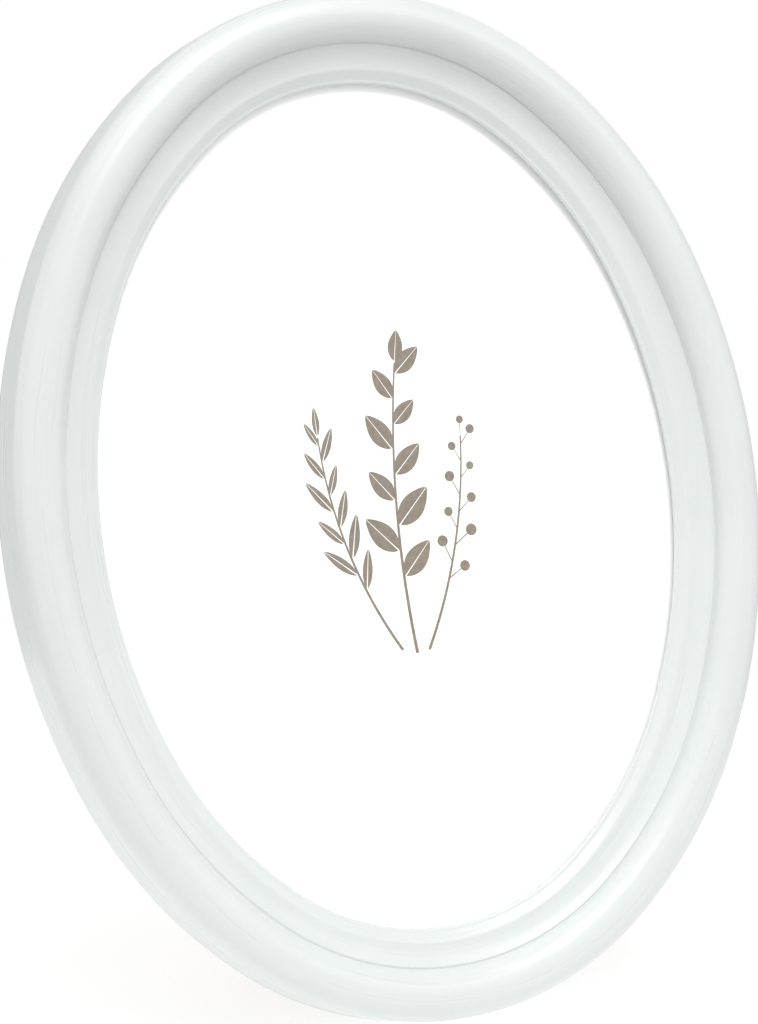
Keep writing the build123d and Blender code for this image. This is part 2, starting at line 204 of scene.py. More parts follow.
class NodeBoard(Nodes):
    """A material with one surface shader."""

    def __init__(self, name: str) -> None:
        """Makes the material.

        Args:
            name: Name of the material.
        """
        self.material = bpy.data.materials.new(name)
        super().__init__(self.material)
        self.surface = self.tree.nodes["Principled BSDF"]
        self.output = self.tree.nodes["Material Output"]

    def set(self, **values: object) -> None:
        """Sets sockets of the surface shader; an underscore stands for a space."""
        for key, value in values.items():
            self.surface.inputs[key.replace("_", " ")].default_value = value

    def glow(self, strength: float) -> None:
        """Lets the surface give off white light."""
        self.set(Emission_Color=(*WHITE, 1.0), Emission_Strength=strength)

    def place(self, scale: Scale = (1, 1, 1), turn: float = 0.0) -> Socket:
        """Object coordinates, scaled, and turned about Y by an angle in degrees."""
        return self.mapped(self.add("TexCoord").outputs["Object"], scale, turn)

    def attribute(self, name: str, scale: Scale) -> Socket:
        """A vector attribute of the mesh, scaled."""
        return self.mapped(self.add("Attribute", attribute_name=name).outputs["Vector"], scale)

    def mapped(self, source: Socket, scale: Scale, turn: float = 0.0) -> Socket:
        """A vector, scaled and turned.

        Args:
            source: Socket that gives the vector.
            scale: Scale along its three directions.
            turn: Turn about the second of them, in degrees.

        Returns:
            The socket that gives the new vector.
        """
        values = {"Scale": scale, "Rotation": (0, math.radians(turn), 0)}
        node = self.add("Mapping", values)
        self.link(source, node.inputs["Vector"])
        return node.outputs["Vector"]

    def noise(self, vector: Socket, clouds: Clouds) -> Socket:
        """Cloudy noise.

        Args:
            vector: Socket that gives the place.
            clouds: Size and fineness of the clouds.

        Returns:
            The socket that gives the noise, from 0 to 1.
        """
        values = {
            "Scale": clouds.scale, "Detail": clouds.detail,
            "Roughness": clouds.rough, "Distortion": clouds.bend,
        }
        node = self.add("TexNoise", values)
        self.link(vector, node.inputs["Vector"])
        return node.outputs["Fac"]

    def cells(self, vector: Socket, scale: float, output: str = "Distance") -> Socket:
        """Cells of irregular size.

        Args:
            vector: Socket that gives the place.
            scale: Cells in a metre.
            output: Name of the output that is read.

        Returns:
            The socket that gives the cells.
        """
        node = self.add("TexVoronoi", {"Scale": scale})
        self.link(vector, node.inputs["Vector"])
        return node.outputs[output]

    def math(self, operation: str, first: Socket, second: Socket | float = 0.5) -> Socket:
        """One or two values put through a sum.

        Args:
            operation: Name of the sum.
            first: Socket that gives the first value.
            second: Socket that gives the second value, or a number, where there is one.

        Returns:
            The socket that gives the result.
        """
        node = self.add("Math", operation=operation)
        self.link(first, node.inputs[0])
        if isinstance(second, (int, float)):
            node.inputs[1].default_value = second
        else:
            self.link(second, node.inputs[1])
        return node.outputs[0]

    def colour(self, source: Socket) -> None:
        """Links the surface's colour."""
        self.link(source, self.surface.inputs["Base Color"])

    def roughness(self, source: Socket) -> None:
        """Links the surface's roughness."""
        self.link(source, self.surface.inputs["Roughness"])

    def relief(self, *layers: tuple[Socket, float]) -> None:
        """Raises the surface by layers of fine relief.

        Args:
            layers: Sockets that give a height from 0 to 1, each with its full height in
                millimetres.
        """
        normal = None
        for height, full in layers:
            node = self.add("Bump", {"Strength": 1.0, "Distance": full * MM})
            self.link(height, node.inputs["Height"])
            if normal is not None:
                self.link(normal, node.inputs["Normal"])
            normal = node.outputs["Normal"]
        self.link(normal, self.surface.inputs["Normal"])


@dataclass(frozen=True)
class Finish:
    """A surface finish, made into a material once."""

    name: str

    def material(self) -> bpy.types.Material:
        """Gives the finish as a material, made at its first use.

        Returns:
            The material.
        """
        made = bpy.data.materials.get(self.name)
        if made is None:
            board = NodeBoard(self.name)
            self.mix(board)
            made = board.material
        return made

    def mix(self, board: NodeBoard) -> None:
        """Puts the finish on a bare material."""
        raise NotImplementedError


@dataclass(frozen=True)
class WhitePaint(Finish):
    """Satin white paint, thin to thick, laid on with a brush along the moulding."""

    name: str = "white_satin_paint"
    stops: Stops = ((0.25, (0.628, 0.661, 0.649)), (0.7, (0.652, 0.686, 0.674)))
    rough: Flat = (0.25, 0.37)
    cloud: Clouds = Clouds(30)
    streak: Clouds = Clouds()
    streak_scale: Scale = (9, 300, 300)
    streak_shade: float = 0.3
    streak_height: float = 0.14
    hair_scale: Scale = (30, 1300, 1300)
    hair_height: float = 0.024
    nib_scale: float = 110
    nib_size: float = 0.07
    nib_height: float = 0.03

    def mix(self, board: NodeBoard) -> None:
        """Draws streaks and finer hairs along the run, and nibs of dust here and there.

        Args:
            board: The bare material.
        """
        place = board.place()
        streaks = board.noise(board.attribute(BRUSH, self.streak_scale), self.streak)
        hairs = board.noise(board.attribute(BRUSH, self.hair_scale), self.streak)
        streaked = board.span(streaks, -self.streak_shade, self.streak_shade)
        coat = board.math("ADD", board.noise(place, self.cloud), streaked)
        board.colour(board.shades(coat, self.stops))
        board.roughness(board.span(streaks, *self.rough, *MIDDLE))
        nibs = board.span(board.cells(place, self.nib_scale), 1.0, 0.0, 0.0, self.nib_size)
        board.relief(
            (streaks, self.streak_height), (hairs, self.hair_height), (nibs, self.nib_height),
        )


@dataclass(frozen=True)
class ClearGlass(Finish):
    """Thin picture glass with a coating that takes most of the reflection away."""

    name: str = "clear_picture_glass"
    tint: Colour = (0.996, 0.998, 0.997)
    ior: float = 1.08
    polish: float = 0.015

    def mix(self, board: NodeBoard) -> None:
        """Lets the light through, apart from a faint gloss.

        Args:
            board: The bare material.
        """
        board.tree.nodes.remove(board.surface)
        through = board.add("BsdfTransparent", {"Color": (*self.tint, 1.0)})
        gloss = board.add("BsdfGlossy", {"Roughness": self.polish})
        edge = board.add("Fresnel", {"IOR": self.ior})
        board.blend(
            edge.outputs["Fac"], through.outputs["BSDF"], gloss.outputs["BSDF"],
            board.output.inputs["Surface"],
        )


@dataclass(frozen=True)
class PrintPaper(Finish):
    """Smooth white picture paper with a faint glow, painted light that pales the shade under the
    lip.
    """

    name: str = "smooth_print_paper"
    stops: Stops = ((0.3, (0.955, 0.955, 0.952)), (0.7, (0.975, 0.975, 0.973)))
    rough: Flat = (0.62, 0.74)
    pulp: Clouds = Clouds(260, 5, 0.6)
    tooth: Clouds = Clouds(2600, 3)
    tooth_height: float = 0.006
    # Strength of the paper's own glow: painted light that lifts the shade under the lip.
    glow: float = 0.14

    def mix(self, board: NodeBoard) -> None:
        """Gives the paper its pulp, its fine tooth and a faint glow that is painted light.

        Args:
            board: The bare material.
        """
        place = board.place()
        pulp = board.noise(place, self.pulp)
        board.colour(board.shades(pulp, self.stops))
        board.roughness(board.span(pulp, *self.rough))
        board.relief((board.noise(place, self.tooth), self.tooth_height))
        board.set(Specular_IOR_Level=0.2)
        # The paper glows: painted light, so the shade under the lip stays pale.
        board.glow(self.glow)


@dataclass(frozen=True)
class PrintInk(Finish):
    """Matt taupe ink, full to thin, that lies a little unevenly on the paper."""

    name: str = "taupe_print_ink"
    stops: Stops = ((0.35, (0.265, 0.226, 0.184)), (0.68, (0.33, 0.285, 0.235)))
    rough: Flat = (0.7, 0.85)
    grain: Clouds = Clouds(900, 4, 0.65)
    grain_height: float = 0.004

    def mix(self, board: NodeBoard) -> None:
        """Lays the ink on in a fine grain.

        Args:
            board: The bare material.
        """
        grain = board.noise(board.place(), self.grain)
        board.colour(board.shades(grain, self.stops))
        board.roughness(board.span(grain, *self.rough))
        board.relief((grain, self.grain_height))
        board.set(Specular_IOR_Level=0.15)


@dataclass(frozen=True)
class Fibreboard(Finish):
    """Pressed brown fibreboard with loose darker and paler fibres."""

    name: str = "pressed_fibreboard"
    stops: Stops = (
        (0.36, (0.150, 0.092, 0.052)), (0.5, (0.232, 0.152, 0.090)), (0.66, (0.335, 0.240, 0.152)),
    )
    rough: Flat = (0.58, 0.86)
    cloud: Clouds = Clouds(70, 4, 0.6)
    cloud_share: float = 0.45
    fibre: Clouds = Clouds(1.0, 3, 0.6, 0.6)
    fibre_share: float = 0.55
    fibre_height: float = 0.05
    along: Scale = (260, 1500, 1500)
    along_turn: float = 35
    across: Scale = (1500, 1500, 260)
    across_turn: float = 20
    tooth: Clouds = Clouds(2200)
    tooth_height: float = 0.015

    def mix(self, board: NodeBoard) -> None:
        """Presses two lays of fibres and a cloudy pulp together.

        Args:
            board: The bare material.
        """
        place = board.place()
        along = board.noise(board.place(self.along, self.along_turn), self.fibre)
        across = board.noise(board.place(self.across, self.across_turn), self.fibre)
        fibres = board.math("MULTIPLY", board.math("ADD", along, across), 0.5)
        pulp = board.math("MULTIPLY", board.noise(place, self.cloud), self.cloud_share)
        mixed = board.math("ADD", pulp, board.math("MULTIPLY", fibres, self.fibre_share))
        board.colour(board.shades(mixed, self.stops))
        board.roughness(board.span(fibres, *self.rough))
        tooth = board.noise(place, self.tooth)
        board.relief((fibres, self.fibre_height), (tooth, self.tooth_height))
        board.set(Specular_IOR_Level=0.3)


@dataclass(frozen=True)
class GreyCard(Finish):
    """Grey card pressed from waste paper."""

    name: str = "grey_waste_card"
    stops: Stops = ((0.35, (0.30, 0.29, 0.27)), (0.65, (0.46, 0.45, 0.42)))
    rough: Flat = (0.8, 0.95)
    pulp: Clouds = Clouds(420, 5, 0.7)
    pulp_height: float = 0.03

    def mix(self, board: NodeBoard) -> None:
        """Gives the card its mixed pulp.

        Args:
            board: The bare material.
        """
        pulp = board.noise(board.place(), self.pulp)
        board.colour(board.shades(pulp, self.stops))
        board.roughness(board.span(pulp, *self.rough))
        board.relief((pulp, self.pulp_height))


@dataclass(frozen=True)
class BareBeech(Finish):
    """Bare beech with short darker flecks along the grain."""

    name: str = "bare_beech"
    stops: Stops = ((0.32, (0.40, 0.24, 0.125)), (0.6, (0.61, 0.42, 0.255)))
    rough: Flat = (0.5, 0.7)
    grain: Clouds = Clouds(1.0, 5, 0.65, 0.4)
    grain_scale: Scale = (900, 900, 60)
    grain_height: float = 0.03

    def mix(self, board: NodeBoard) -> None:
        """Gives the wood its grain.

        Args:
            board: The bare material.
        """
        grain = board.noise(board.place(self.grain_scale), self.grain)
        board.colour(board.shades(grain, self.stops))
        board.roughness(board.span(grain, *self.rough))
        board.relief((grain, self.grain_height))


@dataclass(frozen=True)
class ZincSteel(Finish):
    """Steel with a thin zinc coat, dull to bright, a little clouded and rubbed."""

    name: str = "zinc_coated_steel"
    stops: Stops = ((0.3, (0.44, 0.45, 0.47)), (0.62, (0.56, 0.57, 0.585)))
    rough: Flat = (0.22, 0.34)
    cloud: Clouds = Clouds(330, 4, 0.6)
    spangle_scale: float = 700
    spangle_shade: float = 0.08
    rub: Clouds = Clouds(1.0, 3, 0.6)
    rub_scale: Scale = (500, 3500, 3500)
    rub_turn: float = 12
    rub_height: float = 0.003

    def mix(self, board: NodeBoard) -> None:
        """Gives the steel its spangled coat and fine rubbed lines.

        Args:
            board: The bare material.
        """
        place = board.place()
        cells = board.cells(place, self.spangle_scale, "Color")
        spangle = board.span(cells, -self.spangle_shade, self.spangle_shade)
        coat = board.math("ADD", board.noise(place, self.cloud), spangle)
        board.colour(board.shades(coat, self.stops))
        rubbed = board.noise(board.place(self.rub_scale, self.rub_turn), self.rub)
        board.roughness(board.span(rubbed, *self.rough, *MIDDLE))
        board.relief((rubbed, self.rub_height))
        board.set(Metallic=1.0)


@dataclass(frozen=True)
class CottonTape(Finish):
    """Plain-woven cotton tape; its pattern follows the tape's own map, one unit to a thread."""

    name: str = "woven_cotton_tape"
    # The dark stop is painted shade between the threads; the light stop is the cotton's own
    # colour.
    stops: Stops = ((0.05, (0.36, 0.34, 0.31)), (0.7, (0.80, 0.78, 0.73)))
    rough: Flat = (0.82, 0.96)
    thread_height: float = 0.09
    fluff: Clouds = Clouds(2400, 3, 0.7)
    fluff_shade: float = 0.25
    fluff_height: float = 0.03

    def mix(self, board: NodeBoard) -> None:
        """Weaves threads over and under each other, paints shade in their gaps, roughens them with
        fluff.

        Args:
            board: The bare material.
        """
        weave = board.add("UVMap", uv_map=WEAVE).outputs["UV"]
        split = board.add("SeparateXYZ")
        board.link(weave, split.inputs["Vector"])
        across = self.round_threads(board, split.outputs["X"])
        along = self.round_threads(board, split.outputs["Y"])
        checks = board.add("TexChecker", {"Scale": 1.0})
        board.link(weave, checks.inputs["Vector"])
        over = checks.outputs["Fac"]
        under = board.math("SUBTRACT", board.math("MULTIPLY", over, -1.0), -1.0)
        warp = board.math("MULTIPLY", across, over)
        weft = board.math("MULTIPLY", along, under)
        height = board.math("ADD", warp, weft)
        fluff = board.noise(board.place(), self.fluff)
        fluffy = board.span(fluff, -self.fluff_shade, self.fluff_shade)
        # Colour follows the weave's height: painted shade in the gaps between threads, plus the
        # fluff's random tone.
        board.colour(board.shades(board.math("ADD", height, fluffy), self.stops))
        board.roughness(board.span(fluff, *self.rough))
        board.relief((height, self.thread_height), (fluff, self.fluff_height))
        board.set(Sheen_Weight=0.3, Sheen_Roughness=0.5, Specular_IOR_Level=0.15)

    @staticmethod
    def round_threads(board: NodeBoard, count: Socket) -> Socket:
        """Heights of round threads, 0 between them and 1 on their middles, from their count."""
        wave = board.math("SINE", board.math("MULTIPLY", count, math.pi))
        return board.math("ABSOLUTE", wave)


@dataclass(frozen=True)
class PaleFloor(Finish):
    """Matt white studio floor, a table that is lit a little from below."""

    name: str = "pale_studio_floor"
    stops: Stops = ((0.3, (0.44, 0.44, 0.44)), (0.7, (0.47, 0.47, 0.47)))
    cloud: Clouds = Clouds(3)
    glow: float = 0.72

    def mix(self, board: NodeBoard) -> None:
        """Gives the floor its faint clouds and its light.

        Args:
            board: The bare material.
        """
        cloud = board.noise(board.place(), self.cloud)
        board.colour(board.shades(cloud, self.stops))
        board.set(Roughness=0.9, Specular_IOR_Level=0.1)
        board.glow(self.glow)


@dataclass(frozen=True)
class Stand:
    """How the upright drawing leans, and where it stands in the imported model."""

    lean: float = 15.5
    glass_middle: float = -8.1

    def turn(self) -> Matrix:
        """The lean as a rotation."""
        return Matrix.Rotation(math.radians(-self.lean), 4, "X")

    def matrix(self) -> Matrix:
        """Finds the upright drawing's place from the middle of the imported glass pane.

        Returns:
            The move from the upright drawing to its place.
        """
        low, high = (Vector(corner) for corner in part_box("glass_pane"))
        middle = self.turn() @ Vector((0, self.glass_middle * MM, 0))
        return Matrix.Translation((low + high) / 2 - middle) @ self.turn()

    def point(self, x: float, y: float, z: float) -> Vector:
        """A point of the upright drawing, in metres, where it stands."""
        return self.matrix() @ Vector((x * MM, y * MM, z * MM))


STAND = Stand()


class Bench:
    """The modelling bench: short names for the operators that the pieces are made with.

    Points nearer than a merge distance, in metres, become one: where a drawn line closes, in a
    finished mesh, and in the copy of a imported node. Faces of such a copy become one where they
    meet at less than the flat angle, in degrees.
    """

    LINE_MERGE = 1e-6
    MESH_MERGE = 2e-7
    NODE_MERGE = 2e-6
    FLAT_ANGLE = 0.5

    @staticmethod
    def clear() -> None:
        """Leaves edit mode and deselects everything."""
        if bpy.context.mode != "OBJECT":
            bpy.ops.object.mode_set(mode="OBJECT")
        bpy.ops.object.select_all(action="DESELECT")

    @staticmethod
    def call(piece: Piece, name: str) -> Piece:
        """Names a piece and its mesh."""
        piece.name = piece.data.name = name
        return piece

    @staticmethod
    def take(piece: Piece) -> None:
        """Selects one piece alone.

        Args:
            piece: The piece.
        """
        Bench.clear()
        piece.select_set(True)
        bpy.context.view_layer.objects.active = piece

    @staticmethod
    def edit(piece: Piece) -> None:
        """Opens a piece in edit mode with all of it selected.

        Args:
            piece: The piece.
        """
        Bench.take(piece)
        bpy.ops.object.mode_set(mode="EDIT")
        bpy.ops.mesh.select_mode(type="VERT")
        bpy.ops.mesh.select_all(action="SELECT")

    @staticmethod
    def pick(piece: Piece, test: Callable[[Vector], bool]) -> None:
        """Opens a piece in edit mode with some of its points selected.

        Args:
            piece: The piece.
            test: Says for a point, in millimetres, whether it is selected.
        """
        Bench.edit(piece)
        bpy.ops.mesh.select_all(action="DESELECT")
        bpy.ops.object.mode_set(mode="OBJECT")
        for vertex in piece.data.vertices:
            vertex.select = test(vertex.co / MM)
        bpy.ops.object.mode_set(mode="EDIT")

    @staticmethod
    def trace(name: str, points: Sequence[Vector], closed: bool = False) -> Piece:
        """Draws a line of points, each extruded from the last, and leaves it in edit mode.

        Args:
            name: Name of the new piece.
            points: Points of the line, in millimetres.
            closed: Whether the line comes back to its first point.

        Returns:
            The new piece.
        """
        Bench.clear()
        bpy.ops.mesh.primitive_plane_add(size=MM)
        piece = Bench.call(bpy.context.object, name)
        Bench.edit(piece)
        bpy.ops.mesh.merge(type="CENTER")
        bpy.ops.transform.translate(value=points[0] * MM)
        route = [*points, points[0]] if closed else list(points)
        for last, point in zip(route, route[1:]):
            step = (point - last) * MM
            bpy.ops.mesh.extrude_vertices_move(TRANSFORM_OT_translate={"value": step})
        bpy.ops.mesh.select_all(action="SELECT")
        if closed:
            bpy.ops.mesh.remove_doubles(threshold=Bench.LINE_MERGE)
        return piece

    @staticmethod
    def push(step: Vector) -> None:
        """Extrudes what is selected by a step in millimetres."""
        bpy.ops.mesh.extrude_region_move(TRANSFORM_OT_translate={"value": step * MM})

    @staticmethod
    def close(piece: Piece) -> None:
        """Merges doubles, turns the faces outwards and leaves edit mode.

        Args:
            piece: The piece.
        """
        Bench.edit(piece)
        bpy.ops.mesh.remove_doubles(threshold=Bench.MESH_MERGE)
        bpy.ops.mesh.normals_make_consistent(inside=False)
        bpy.ops.object.mode_set(mode="OBJECT")

    @staticmethod
    def slab(name: str, outline: Sequence[Flat], front: float, back: float) -> Piece:
        """Makes a plate from its outline in X and Z.

        Args:
            name: Name of the new piece.
            outline: Points of the outline, in millimetres.
            front: Y of its front face.
            back: Y of its back face.

        Returns:
            The new piece.
        """
        piece = Bench.trace(name, [Vector((x, front, z)) for x, z in outline], closed=True)
        bpy.ops.mesh.edge_face_add()
        Bench.push(Vector((0, back - front, 0)))
        Bench.close(piece)
        return piece

    @staticmethod
    def lathe(name: str, outline: Sequence[Flat], steps: int) -> Piece:
        """Turns a piece about the Y axis.

        Args:
            name: Name of the new piece.
            outline: Points of radius and Y, from the axis to the axis.
            steps: Steps in a full turn.

        Returns:
            The new piece.
        """
        piece = Bench.trace(name, [Vector((radius, y, 0)) for radius, y in outline])
        bpy.ops.mesh.spin(steps=steps, angle=2 * math.pi, center=(0, 0, 0), axis=(0, 1, 0))
        Bench.close(piece)
        return piece

    @staticmethod
    def apply(piece: Piece, kind: str, **settings: object) -> None:
        """Adds a modifier and applies it.

        Args:
            piece: The piece.
            kind: Type of the modifier.
            settings: Its settings.
        """
        Bench.take(piece)
        modifier = piece.modifiers.new(kind.lower(), kind)
        for key, value in settings.items():
            setattr(modifier, key, value)
        bpy.ops.object.modifier_apply(modifier=modifier.name)

    @staticmethod
    def ease(piece: Piece, width: float, segments: int = 3, angle: float = 40.0) -> None:
        """Rounds the sharp edges of a piece.

        Args:
            piece: The piece.
            width: Width of the rounding, in millimetres.
            segments: Faces across the rounding.
            angle: Least angle of an edge that counts as sharp, in degrees.
        """
        Bench.apply(
            piece, "BEVEL", width=width * MM, segments=segments, limit_method="ANGLE",
            angle_limit=math.radians(angle), miter_outer="MITER_ARC",
        )
        Bench.smooth(piece)

    @staticmethod
    def smooth(piece: Piece, angle: float = 35.0) -> None:
        """Shades a piece smooth, apart from edges sharper than an angle in degrees."""
        Bench.take(piece)
        bpy.ops.object.shade_smooth_by_angle(angle=math.radians(angle))

    @staticmethod
    def cut(piece: Piece, cutter: Piece) -> None:
        """Cuts one piece out of another and removes the cutter."""
        Bench.apply(piece, "BOOLEAN", object=cutter, operation="DIFFERENCE", solver="EXACT")
        Bench.discard(cutter)

    @staticmethod
    def copy(piece: Piece, name: str) -> Piece:
        """Copies a piece with a mesh of its own.

        Args:
            piece: The piece.
            name: Name of the copy.

        Returns:
            The copy.
        """
        Bench.take(piece)
        bpy.ops.object.duplicate(linked=False)
        return Bench.call(bpy.context.object, name)

    @staticmethod
    def join(pieces: Sequence[Piece], name: str) -> Piece:
        """Joins pieces into one.

        Args:
            pieces: The pieces.
            name: Name of the joined piece.

        Returns:
            The joined piece.
        """
        Bench.take(pieces[0])
        for piece in pieces[1:]:
            piece.select_set(True)
        bpy.ops.object.join()
        return Bench.call(pieces[0], name)

    @staticmethod
    def settle(piece: Piece, matrix: Matrix) -> None:
        """Moves a piece and puts the move into its mesh.

        Args:
            piece: The piece.
            matrix: The move, with lengths in metres.
        """
        Bench.take(piece)
        piece.matrix_world = matrix @ piece.matrix_world
        bpy.ops.object.transform_apply(location=True, rotation=True, scale=True)

    @staticmethod
    def discard(piece: Piece) -> None:
        """Removes a pattern or a cutter that has been used."""
        Bench.take(piece)
        bpy.ops.object.delete()

    @staticmethod
    def eased_node(node: str, name: str, width: float, segments: int = 2) -> Piece:
        """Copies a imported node, merges its triangles into faces and rounds its edges.

        Args:
            node: Name of the node.
            name: Name of the new piece.
            width: Width of the rounding, in millimetres.
            segments: Faces across the rounding.

        Returns:
            The new piece.
        """
        piece = bpy.data.objects.new(name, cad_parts[node].data.copy())
        piece.data.name = name
        bpy.context.scene.collection.objects.link(piece)
        Bench.edit(piece)
        bpy.ops.mesh.remove_doubles(threshold=Bench.NODE_MERGE)
        bpy.ops.mesh.dissolve_limited(angle_limit=math.radians(Bench.FLAT_ANGLE))
        bpy.ops.object.mode_set(mode="OBJECT")
        Bench.ease(piece, width, segments)
        return piece

    @staticmethod
    def dress(piece: Piece, body: Body, slot: Slot, finish: Finish, *nodes: str) -> None:
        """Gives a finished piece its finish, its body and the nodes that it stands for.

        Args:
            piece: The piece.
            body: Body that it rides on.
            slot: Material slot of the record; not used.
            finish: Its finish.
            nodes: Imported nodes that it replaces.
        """
        Bench.clear()
        piece.data.materials.clear()
        piece.data.materials.append(finish.material())
        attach(piece, body.value)
        if nodes:
            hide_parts(*nodes)
        log.info("%s: %d faces, rides on %s", piece.name, len(piece.data.polygons), body.value)

    @staticmethod
    def coat(node: str, finish: Finish) -> None:
        """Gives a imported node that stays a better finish.

        Args:
            node: Name of the node.
            finish: Its finish.
        """
        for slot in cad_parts[node].material_slots:
            slot.material = finish.material()
        log.info("%s: stays, with %s", node, finish.name)


def swing(centre: Flat, radius: float, first: float, last: float, steps: int) -> list[Flat]:
    """Points along an arc.

    Args:
        centre: Middle of the arc.
        radius: Its radius.
        first: Direction of its first point, in degrees.
        last: Direction of its last point.
        steps: Number of steps.

    Returns:
        The points, both ends among them.
    """
    points = []
    for step in range(steps + 1):
        turn = math.radians(first + (last - first) * step / steps)
        points.append((centre[0] + radius * math.cos(turn), centre[1] + radius * math.sin(turn)))
    return points


def circle(centre: Flat, radius: float) -> list[Flat]:
    """Points all round a circle."""
    return swing(centre, radius, 0, 360 - 360 / CIRCLE_STEPS, CIRCLE_STEPS - 1)


def domed_head(radius: float, height: float, seat: float, rim: Flat, steps: int) -> list[Flat]:
    """The section of a domed head, from the top of its dome to the foot of its rim.

    Args:
        radius: Radius of the head.
        height: Height of its dome.
        seat: Y of the face that it sits on.
        rim: How far its rim draws in at the top and at the foot.
        steps: Steps down the dome.

    Returns:
        Points of radius and Y.
    """
    dome_radius = (radius**2 + height**2) / (2 * height)
    rim_turn = math.degrees(math.asin(radius / dome_radius))
    dome = swing((0, seat + height - dome_radius), dome_radius, 90, 90 - rim_turn, steps)
    over, under = rim
    foot = [(radius - over, seat + under), (radius - under, seat)]
    return [(0.0, seat + height), *dome[1:-1], *foot]


def heading(azimuth: float, elevation: float) -> Vector:
    """The direction of a lamp or the camera, seen from the frame.

    Args:
        azimuth: Turn from the front to the right, in degrees.
        elevation: Rise over the floor, in degrees.

    Returns:
        The direction, of length 1.
    """
    turn, rise = math.radians(azimuth), math.radians(elevation)
    reach = math.cos(rise)
    return Vector((math.sin(turn) * reach, -math.cos(turn) * reach, math.sin(rise)))


@dataclass(frozen=True)
class Arc:
    """One arc of the sight edge: its middle, radius, and first and last direction."""

    x: float
    z: float
    radius: float
    first: float
    last: float


@dataclass(frozen=True)
class Oval:
    """The oval of the sight edge, eight tangent arcs that follow an ellipse."""

    half_width: float = 70.5
    half_height: float = 95.5
    side_easing: float = 0.96
    side_end: float = 24.0
    end_start: float = 52.0

    def arcs(self) -> list[Arc]:
        """Works out the arcs, so that each runs on into the next.

        Returns:
            The eight arcs, from the one on the right and turning upwards.
        """
        side = self.side_easing * self.half_height**2 / self.half_width
        turns = [math.radians(self.side_end), math.radians(self.end_start)]
        first, last = (Vector((math.cos(turn), math.sin(turn))) for turn in turns)
        across = side - self.half_width - side * first.x
        up = self.half_height - side * first.y
        scale = (last.x - first.x) * (1 - last.y) + last.x * (last.y - first.y)
        shoulder = (across * (1 - last.y) + last.x * up) / scale
        end = ((last.x - first.x) * up - (last.y - first.y) * across) / scale
        middle = self.half_width - side
        x = middle + first.x * (side - shoulder)
        z = first.y * (side - shoulder)
        top = self.half_height - end
        a, b = self.side_end, self.end_start
        return [
            Arc(middle, 0, side, -a, a),
            Arc(x, z, shoulder, a, b),
            Arc(0, top, end, b, 180 - b),
            Arc(-x, z, shoulder, 180 - b, 180 - a),
            Arc(-middle, 0, side, 180 - a, 180 + a),
            Arc(-x, -z, shoulder, 180 + a, 180 + b),
            Arc(0, -top, end, 180 + b, 360 - b),
            Arc(x, -z, shoulder, 360 - b, 360 - a),
        ]

    def stretches(self, first: float, last: float) -> list[tuple[Arc, float, float]]:
        """The arcs between two directions.

        Args:
            first: First direction, in degrees.
            last: Last direction, larger than the first.

        Returns:
            Each arc with the first and last direction that are used of it.
        """
        found = []
        for lap in (0, 360):
            for arc in self.arcs():
                start = max(first, arc.first + lap)
                finish = min(last, arc.last + lap)
                if finish > start:
                    found.append((arc, start, finish))
        return found

    def length(self, first: float, last: float) -> float:
        """Length of the sight edge between two directions."""
        stretches = self.stretches(first, last)
        return sum(math.radians(finish - start) * arc.radius for arc, start, finish in stretches)

    def point(self, direction: float, offset: float) -> Flat:
        """A point outside the sight edge, where the oval faces a direction.

        Args:
            direction: The direction, in degrees.
            offset: Distance from the sight edge, in millimetres.

        Returns:
            X and Z of the point.
        """
        turn = (direction + self.side_end) % 360 - self.side_end
        arc = next(arc for arc in self.arcs() if arc.first <= turn <= arc.last)
        radius = arc.radius + offset
        angle = math.radians(turn)
        return arc.x + radius * math.cos(angle), arc.z + radius * math.sin(angle)

    def outline(self, offset: float, step: float = 2.0) -> list[Flat]:
        """Points all round the oval, an offset outside the sight edge.

        Args:
            offset: The offset, in millimetres.
            step: Step between the directions of two points, in degrees.

        Returns:
            The points.
        """
        count = round(360 / step)
        return [self.point(index * step - self.side_end, offset) for index in range(count)]


OVAL = Oval()


